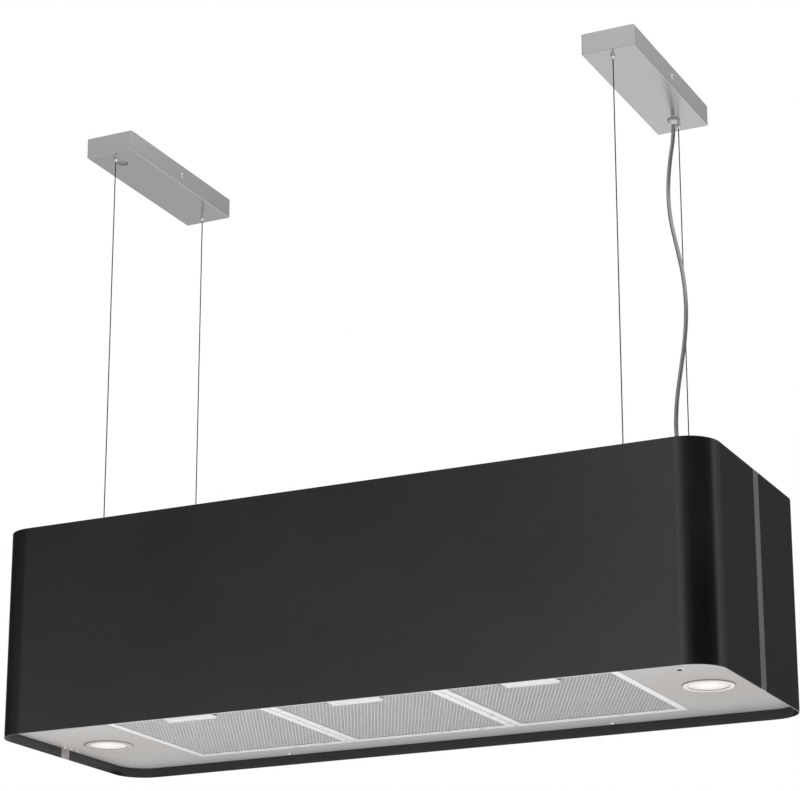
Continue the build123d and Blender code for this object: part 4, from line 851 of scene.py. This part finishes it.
class HOOD_OT_screws(bpy.types.Operator):
    """Set a cross-recessed screw at every screw place"""

    bl_idname = "hood.screws"
    bl_label = "Screws"

    HEAD_RADIUS = 0.0038
    HEAD_HEIGHT = 0.002
    SHANK_RADIUS = 0.002
    RECESS_SPAN = HEAD_RADIUS * 1.15
    # Edge of the cube that cuts away the lower half of a head, in metres.
    CUTTER = 0.02

    def places(self):
        """Seat, turn of the head and shank length of each screw."""
        found = []
        halfway = PANEL_LEVEL / 2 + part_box("top_deck")[0].z / 2
        for low, high in islands("body_screws"):
            middle = (low + high) / 2
            hangs = middle.z < halfway
            seat = low.z + self.HEAD_HEIGHT if hangs else high.z - self.HEAD_HEIGHT
            turn = (math.pi if hangs else 0, 0, 0)
            reach = high.z - low.z - self.HEAD_HEIGHT
            found.append((Vector((middle.x, middle.y, seat)), turn, reach))
        cover_low, cover_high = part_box("ceiling_cover_right")
        cover_x = (cover_low.x + cover_high.x) / 2
        for low, high in islands("cover_screws"):
            middle = (low + high) / 2
            outward = 1 if middle.x > math.copysign(cover_x, middle.x) else -1
            seat = high.x - self.HEAD_HEIGHT if outward > 0 else low.x + self.HEAD_HEIGHT
            turn = (0, outward * math.pi / 2, 0)
            reach = high.x - low.x - self.HEAD_HEIGHT
            found.append((Vector((seat, middle.y, middle.z)), turn, reach))
        return found

    def seats(self):
        """Mesh of a point at each seat, with its turn and its shank length."""
        places = self.places()
        points = bpy.data.meshes.new("screw_seats")
        points.from_pydata([seat for seat, _, _ in places], [], [])
        turns = [part for _, turn, _ in places for part in turn]
        points.attributes.new("aim", "FLOAT_VECTOR", "POINT").data.foreach_set("vector", turns)
        reaches = [reach for _, _, reach in places]
        points.attributes.new("reach", "FLOAT", "POINT").data.foreach_set("value", reaches)
        return points

    def execute(self, context):
        repeats = context.scene.hood_repeats
        tree = Tree(
            "cross_head_screw", head_radius=self.HEAD_RADIUS, head_height=self.HEAD_HEIGHT,
            shank_radius=self.SHANK_RADIUS, recess_width=repeats.recess_width, recess_span=self.RECESS_SPAN)

        def cube(size, place):
            return tree.set_down(tree.out("GeometryNodeMeshCube", {"Size": size}), Translation=place)

        def stored(name, kind):
            return tree.out("GeometryNodeInputNamedAttribute", {"Name": name}, "Attribute", data_type=kind)

        ball = tree.out("GeometryNodeMeshUVSphere", {
            "Segments": 24, "Rings": 16, "Radius": tree.given("head_radius")})
        squat = tree.maths("DIVIDE", tree.given("head_height"), tree.given("head_radius"))
        dome = tree.set_down(ball, Scale=tree.vector(X=1.0, Y=1.0, Z=squat))
        cutters = [cube((self.CUTTER, self.CUTTER, self.CUTTER), (0, 0, -self.CUTTER / 2))]
        lift = tree.vector(Z=tree.given("head_height"))
        for span, wide in (("recess_span", "recess_width"), ("recess_width", "recess_span")):
            size = tree.vector(X=tree.given(span), Y=tree.given(wide), Z=tree.given("head_height"))
            cutters.append(cube(size, lift))
        head = tree.linked("GeometryNodeMeshBoolean", "Mesh 2", *cutters, operation="DIFFERENCE")
        tree.feed(head.inputs["Mesh 1"], dome)
        shank = tree.out("GeometryNodeMeshCylinder", {
            "Vertices": 16, "Radius": tree.given("shank_radius"), "Depth": 1.0})
        shank = tree.set_down(shank, Translation=(0, 0, -0.5))
        seated = tree.source.outputs["Geometry"]
        turn = stored("aim", "FLOAT_VECTOR")
        reach = tree.vector(X=1.0, Y=1.0, Z=stored("reach", "FLOAT"))
        heads = tree.copies(seated, head.outputs["Mesh"], Rotation=turn)
        shanks = tree.copies(seated, shank, Rotation=turn, Scale=reach)
        both = tree.linked("GeometryNodeJoinGeometry", "Geometry", heads, shanks).outputs[0]
        tree.finish(both, plated("screw_plate", (0.72, 0.72, 0.71), rough=0.2), smooth=False)
        screws = tree.make("cross_head_screws", self.seats())
        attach(screws, "hood")
        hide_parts("body_screws", "cover_screws")
        return {"FINISHED"}


class HOOD_OT_lamps(bpy.types.Operator):
    """Finish the lit lamps: ring, frosted glass and body"""

    bl_idname = "hood.lamps"
    bl_label = "Lamps"

    def execute(self, context):
        finishes = context.scene.hood_finishes
        ring = lamp_ring("lamp_ring_plate", (0.86, 0.83, 0.815))
        glass = lamp_glass("lamp_glass_lit", finishes.lamp_glow, finishes.lamp_strength)
        body = rolled("lamp_body_cast", (0.50, 0.50, 0.51), rough=0.45)
        for side in SIDES:
            dress(ring, f"lamp_bezel_{side}")
            dress(glass, f"lamp_lens_{side}")
            dress(body, f"lamp_housing_{side}")
        return {"FINISHED"}


class HOOD_OT_controls(bpy.types.Operator):
    """Finish the push buttons, the sensor and the boxes behind them"""

    bl_idname = "hood.controls"
    bl_label = "Controls"

    def execute(self, context):
        button_plate = plated("button_plate", (0.86, 0.86, 0.85), rough=0.12)
        dress(button_plate, *(f"push_button_{number}" for number in BUTTONS))
        dress(plated("sensor_ring_plate", (0.70, 0.70, 0.69), rough=0.22), "sensor_bezel")
        dress(dark_window("sensor_dark_window"), "sensor_window")
        dress(moulded("switch_plastic", (0.03, 0.03, 0.031)), "switch_block")
        dress(moulded("control_plastic", (0.62, 0.62, 0.60), rough=0.46), "control_box")
        return {"FINISHED"}


class HOOD_OT_blower(bpy.types.Operator):
    """Finish the blower's wheel, motor and charcoal cartridges"""

    bl_idname = "hood.blower"
    bl_label = "Blower"

    def execute(self, context):
        dress(moulded("wheel_plastic", (0.055, 0.055, 0.057), rough=0.42), "impeller")
        dress(plated("shaft_ground", (0.62, 0.62, 0.62), rough=0.18), "motor_shaft")
        dress(hammered("motor_hammered", (0.22, 0.23, 0.24)), "fan_motor")
        dress(charcoal("charcoal_grains"), *(f"charcoal_cartridge_{side}" for side in SIDES))
        return {"FINISHED"}


class HOOD_OT_stage(bpy.types.Operator):
    """Set the camera, the floor, the lights and the white surroundings"""

    bl_idname = "hood.stage"
    bl_label = "Stage"

    # Brightness of the studio as paint and metal mirror it, by bearing from the front towards the right in
    # turns: just above the floor, the room at eye level and the ceiling.
    HORIZON = (
        (0.000, 0.52), (0.03, 0.182), (0.08, 0.052), (0.20, 0.026), (0.27, 0.078), (0.335, 0.546),
        (0.385, 0.312), (0.42, 0.21), (0.44, 0.13), (0.47, 0.06), (0.54, 0.05), (0.72, 0.039), (0.86, 0.39),
        (0.905, 0.949), (0.925, 1.14), (0.967, 1.17),
    )
    ROOM = (
        (0.000, 0.455), (0.03, 0.182), (0.08, 0.039), (0.20, 0.0156), (0.27, 0.078), (0.335, 0.572),
        (0.385, 0.312), (0.42, 0.21), (0.44, 0.13), (0.47, 0.06), (0.54, 0.05), (0.72, 0.039), (0.86, 0.078),
        (0.889, 0.182), (0.905, 0.195), (0.925, 0.26), (0.935, 0.325), (0.9435, 0.611), (0.950, 0.78),
        (0.967, 0.858),
    )
    CEILING = (
        (0.000, 0.90), (0.08, 1.20), (0.25, 1.20), (0.36, 1.15), (0.41, 0.98), (0.45, 0.54), (0.55, 0.60),
        (0.80, 0.78), (0.90, 0.98), (0.95, 1.02),
    )
    # Heights on a unit sphere between which the room goes over to the ceiling, horizon and white floor.
    CEILING_EDGE = (0.365, 0.395)
    HORIZON_EDGE = (0.27, 0.05)
    FLOOR_EDGE = (0.03, -0.08)
    # Brightness of the floor as metal mirrors it, over its reach along X in metres.
    MIRRORED_FLOOR = ((0.0, 0.55), (0.15, 0.60), (0.62, 0.98), (1.0, 1.0))
    MIRRORED_REACH = (-4.0, 0.0)
    # Half the floor's width, and how brightly it shows at two distances from the middle, in metres.
    FLOOR_HALF = 12.0
    FLOOR_GLOW = (0.45, 0.80)
    FLOOR_REACH = (3.5, 9.0)
    # Place, target, width and height in metres, and power in watts.
    SOFTBOXES = {
        "key_softbox": ((-1.6, -2.6, 0.6), (0, 0, -0.7), 2.4, 1.8, 60),
        "fill_softbox": ((2.8, -0.6, 0.2), (0.2, 0, -0.7), 1.8, 1.8, 25),
        "front_strip": ((-0.2, -0.7, -1.45), (-0.1, 0, -0.9), 2.2, 0.2, 8),
    }

    def camera(self, stage):
        data = bpy.data.cameras.new("hood_camera")
        data.sensor_fit = "HORIZONTAL"
        data.sensor_width = 36
        data.lens = stage.camera_lens
        data.shift_y = stage.camera_shift
        data.clip_start = 0.05
        data.clip_end = 60
        made = link("hood_camera", data)
        aim = (
            Matrix.Rotation(stage.camera_turn, 4, "Z") @ Matrix.Rotation(stage.camera_tilt, 4, "X")
            @ Matrix.Rotation(stage.camera_roll, 4, "Y") @ Matrix.Rotation(math.pi / 2, 4, "X"))
        made.matrix_world = Matrix.Translation(Vector(stage.camera_place)) @ aim
        bpy.context.scene.camera = made

    def floor_paint(self):
        """Pale floor that shows white and mirrors as the studio does, and is open from below."""
        finish = Finish("floor_pale", specular_ior_level=0.2, emission_color=WHITE[:3])
        cloud = finish.noise(0.8)
        ray = finish.add("ShaderNodeLightPath").outputs
        shown = finish.maths("MAXIMUM", ray["Is Camera Ray"], ray["Is Glossy Ray"])
        shown = finish.maths("MAXIMUM", shown, ray["Is Transmission Ray"])
        away = finish.out("ShaderNodeVectorMath", {0: finish.place}, "Value", operation="LENGTH")
        glow = finish.spread(away, *self.FLOOR_GLOW, *self.FLOOR_REACH)
        finish.join(
            base_color=finish.vary(cloud, (0.80, 0.80, 0.80), 0.01),
            roughness=finish.spread(cloud, 0.6, 0.75),
            emission_strength=finish.maths("MULTIPLY", shown, glow))
        along = finish.spread(finish.axes(finish.place)["X"], 0.0, 1.0, *self.MIRRORED_REACH)
        level = finish.shades(along, greys(self.MIRRORED_FLOOR))
        mirrored = finish.out("ShaderNodeEmission", {"Color": level, "Strength": 1.0})
        surface = finish.either(ray["Is Glossy Ray"], finish.shader.outputs[0], mirrored)
        below = finish.out("ShaderNodeNewGeometry", output="Backfacing")
        under = finish.maths("MULTIPLY", below, ray["Is Camera Ray"])
        open_below = finish.either(under, surface, finish.out("ShaderNodeBsdfTransparent"))
        finish.feed(finish.tree.nodes["Material Output"].inputs["Surface"], open_below)
        return finish.material

    def floor(self, level):
        mesh = bpy.data.meshes.new("floor")
        half = self.FLOOR_HALF
        corners = ((-half, -half), (half, -half), (half, half), (-half, half))
        mesh.from_pydata([(*corner, level) for corner in corners], [], [(0, 1, 2, 3)])
        mesh.materials.append(self.floor_paint())
        link("floor", mesh)

    def softbox(self, name, place, target, wide, tall, power):
        data = bpy.data.lights.new(name, "AREA")
        data.shape = "RECTANGLE"
        data.size = wide
        data.size_y = tall
        data.energy = power
        made = link(name, data)
        made.location = place
        made.rotation_euler = (Vector(target) - Vector(place)).to_track_quat("-Z", "Y").to_euler()
        made.visible_glossy = False
        made.visible_camera = False

    def surroundings(self, ambient):
        """White to the camera, plain light to matt surfaces and a studio to mirroring ones."""
        world = bpy.data.worlds.new("white_studio")
        bpy.context.scene.world = world
        world.use_nodes = True
        world.node_tree.nodes.clear()
        sky = Nodes(world.node_tree)
        x, y, z = sky.axes(sky.out("ShaderNodeTexCoord", output="Generated"))
        bearing = sky.maths("ARCTAN2", x, sky.maths("MULTIPLY", y, -1.0))
        turns = sky.maths("WRAP", sky.maths("DIVIDE", bearing, 2 * math.pi), 1.0, 0.0)

        def ring(levels):
            return sky.shades(turns, greys((*levels, (1.0, levels[0][1]))), "EASE")

        def layered(edge, first, second):
            return sky.tint(sky.spread(z, 0.0, 1.0, *edge), first, second)

        def backdrop(tone, power):
            return sky.out("ShaderNodeBackground", {"Color": tone, "Strength": power})

        upper = layered(self.CEILING_EDGE, ring(self.ROOM), ring(self.CEILING))
        lower = layered(self.HORIZON_EDGE, upper, ring(self.HORIZON))
        studio = layered(self.FLOOR_EDGE, lower, WHITE)
        ray = sky.add("ShaderNodeLightPath").outputs
        lit = sky.either(ray["Is Glossy Ray"], backdrop(WHITE, ambient), backdrop(studio, 1.0))
        seen = sky.maths("MAXIMUM", ray["Is Camera Ray"], ray["Is Transmission Ray"])
        sky.add("ShaderNodeOutputWorld", {"Surface": sky.either(seen, lit, backdrop(WHITE, 1.0))})

    def execute(self, context):
        stage = context.scene.hood_stage
        context.scene.view_settings.view_transform = "Standard"
        self.camera(stage)
        self.floor(stage.floor_level)
        for name, lamp in self.SOFTBOXES.items():
            self.softbox(name, *lamp)
        self.surroundings(stage.ambient)
        return {"FINISHED"}


STEPS = (
    HOOD_OT_stage, HOOD_OT_power_cable, HOOD_OT_body_shells, HOOD_OT_ceiling_fittings,
    HOOD_OT_suspension_wires, HOOD_OT_underside, HOOD_OT_filter_meshes, HOOD_OT_screws, HOOD_OT_lamps,
    HOOD_OT_controls, HOOD_OT_blower,
)
GROUPS = {"hood_finishes": HoodFinishes, "hood_repeats": HoodRepeats, "hood_stage": HoodStage}


class HOOD_PT_finisher(bpy.types.Panel):
    """Steps and settings of the hood"""

    bl_idname = "HOOD_PT_finisher"
    bl_label = "Island hood"
    bl_space_type = "VIEW_3D"
    bl_region_type = "UI"
    bl_category = "Hood"

    def draw(self, context):
        for step in STEPS:
            self.layout.operator(step.bl_idname)
        for name, group in GROUPS.items():
            box = self.layout.box()
            for key in group.__annotations__:
                box.prop(getattr(context.scene, name), key)


CLASSES = (*GROUPS.values(), *STEPS, HOOD_PT_finisher)


def register():
    for cls in CLASSES:
        bpy.utils.register_class(cls)
    for name, group in GROUPS.items():
        setattr(bpy.types.Scene, name, PointerProperty(type=group))


def unregister():
    for name in GROUPS:
        delattr(bpy.types.Scene, name)
    for cls in reversed(CLASSES):
        bpy.utils.unregister_class(cls)


def main():
    register()
    for step in STEPS:
        family, name = step.bl_idname.split(".")
        getattr(getattr(bpy.ops, family), name)()


if __name__ == "__main__":
    main()
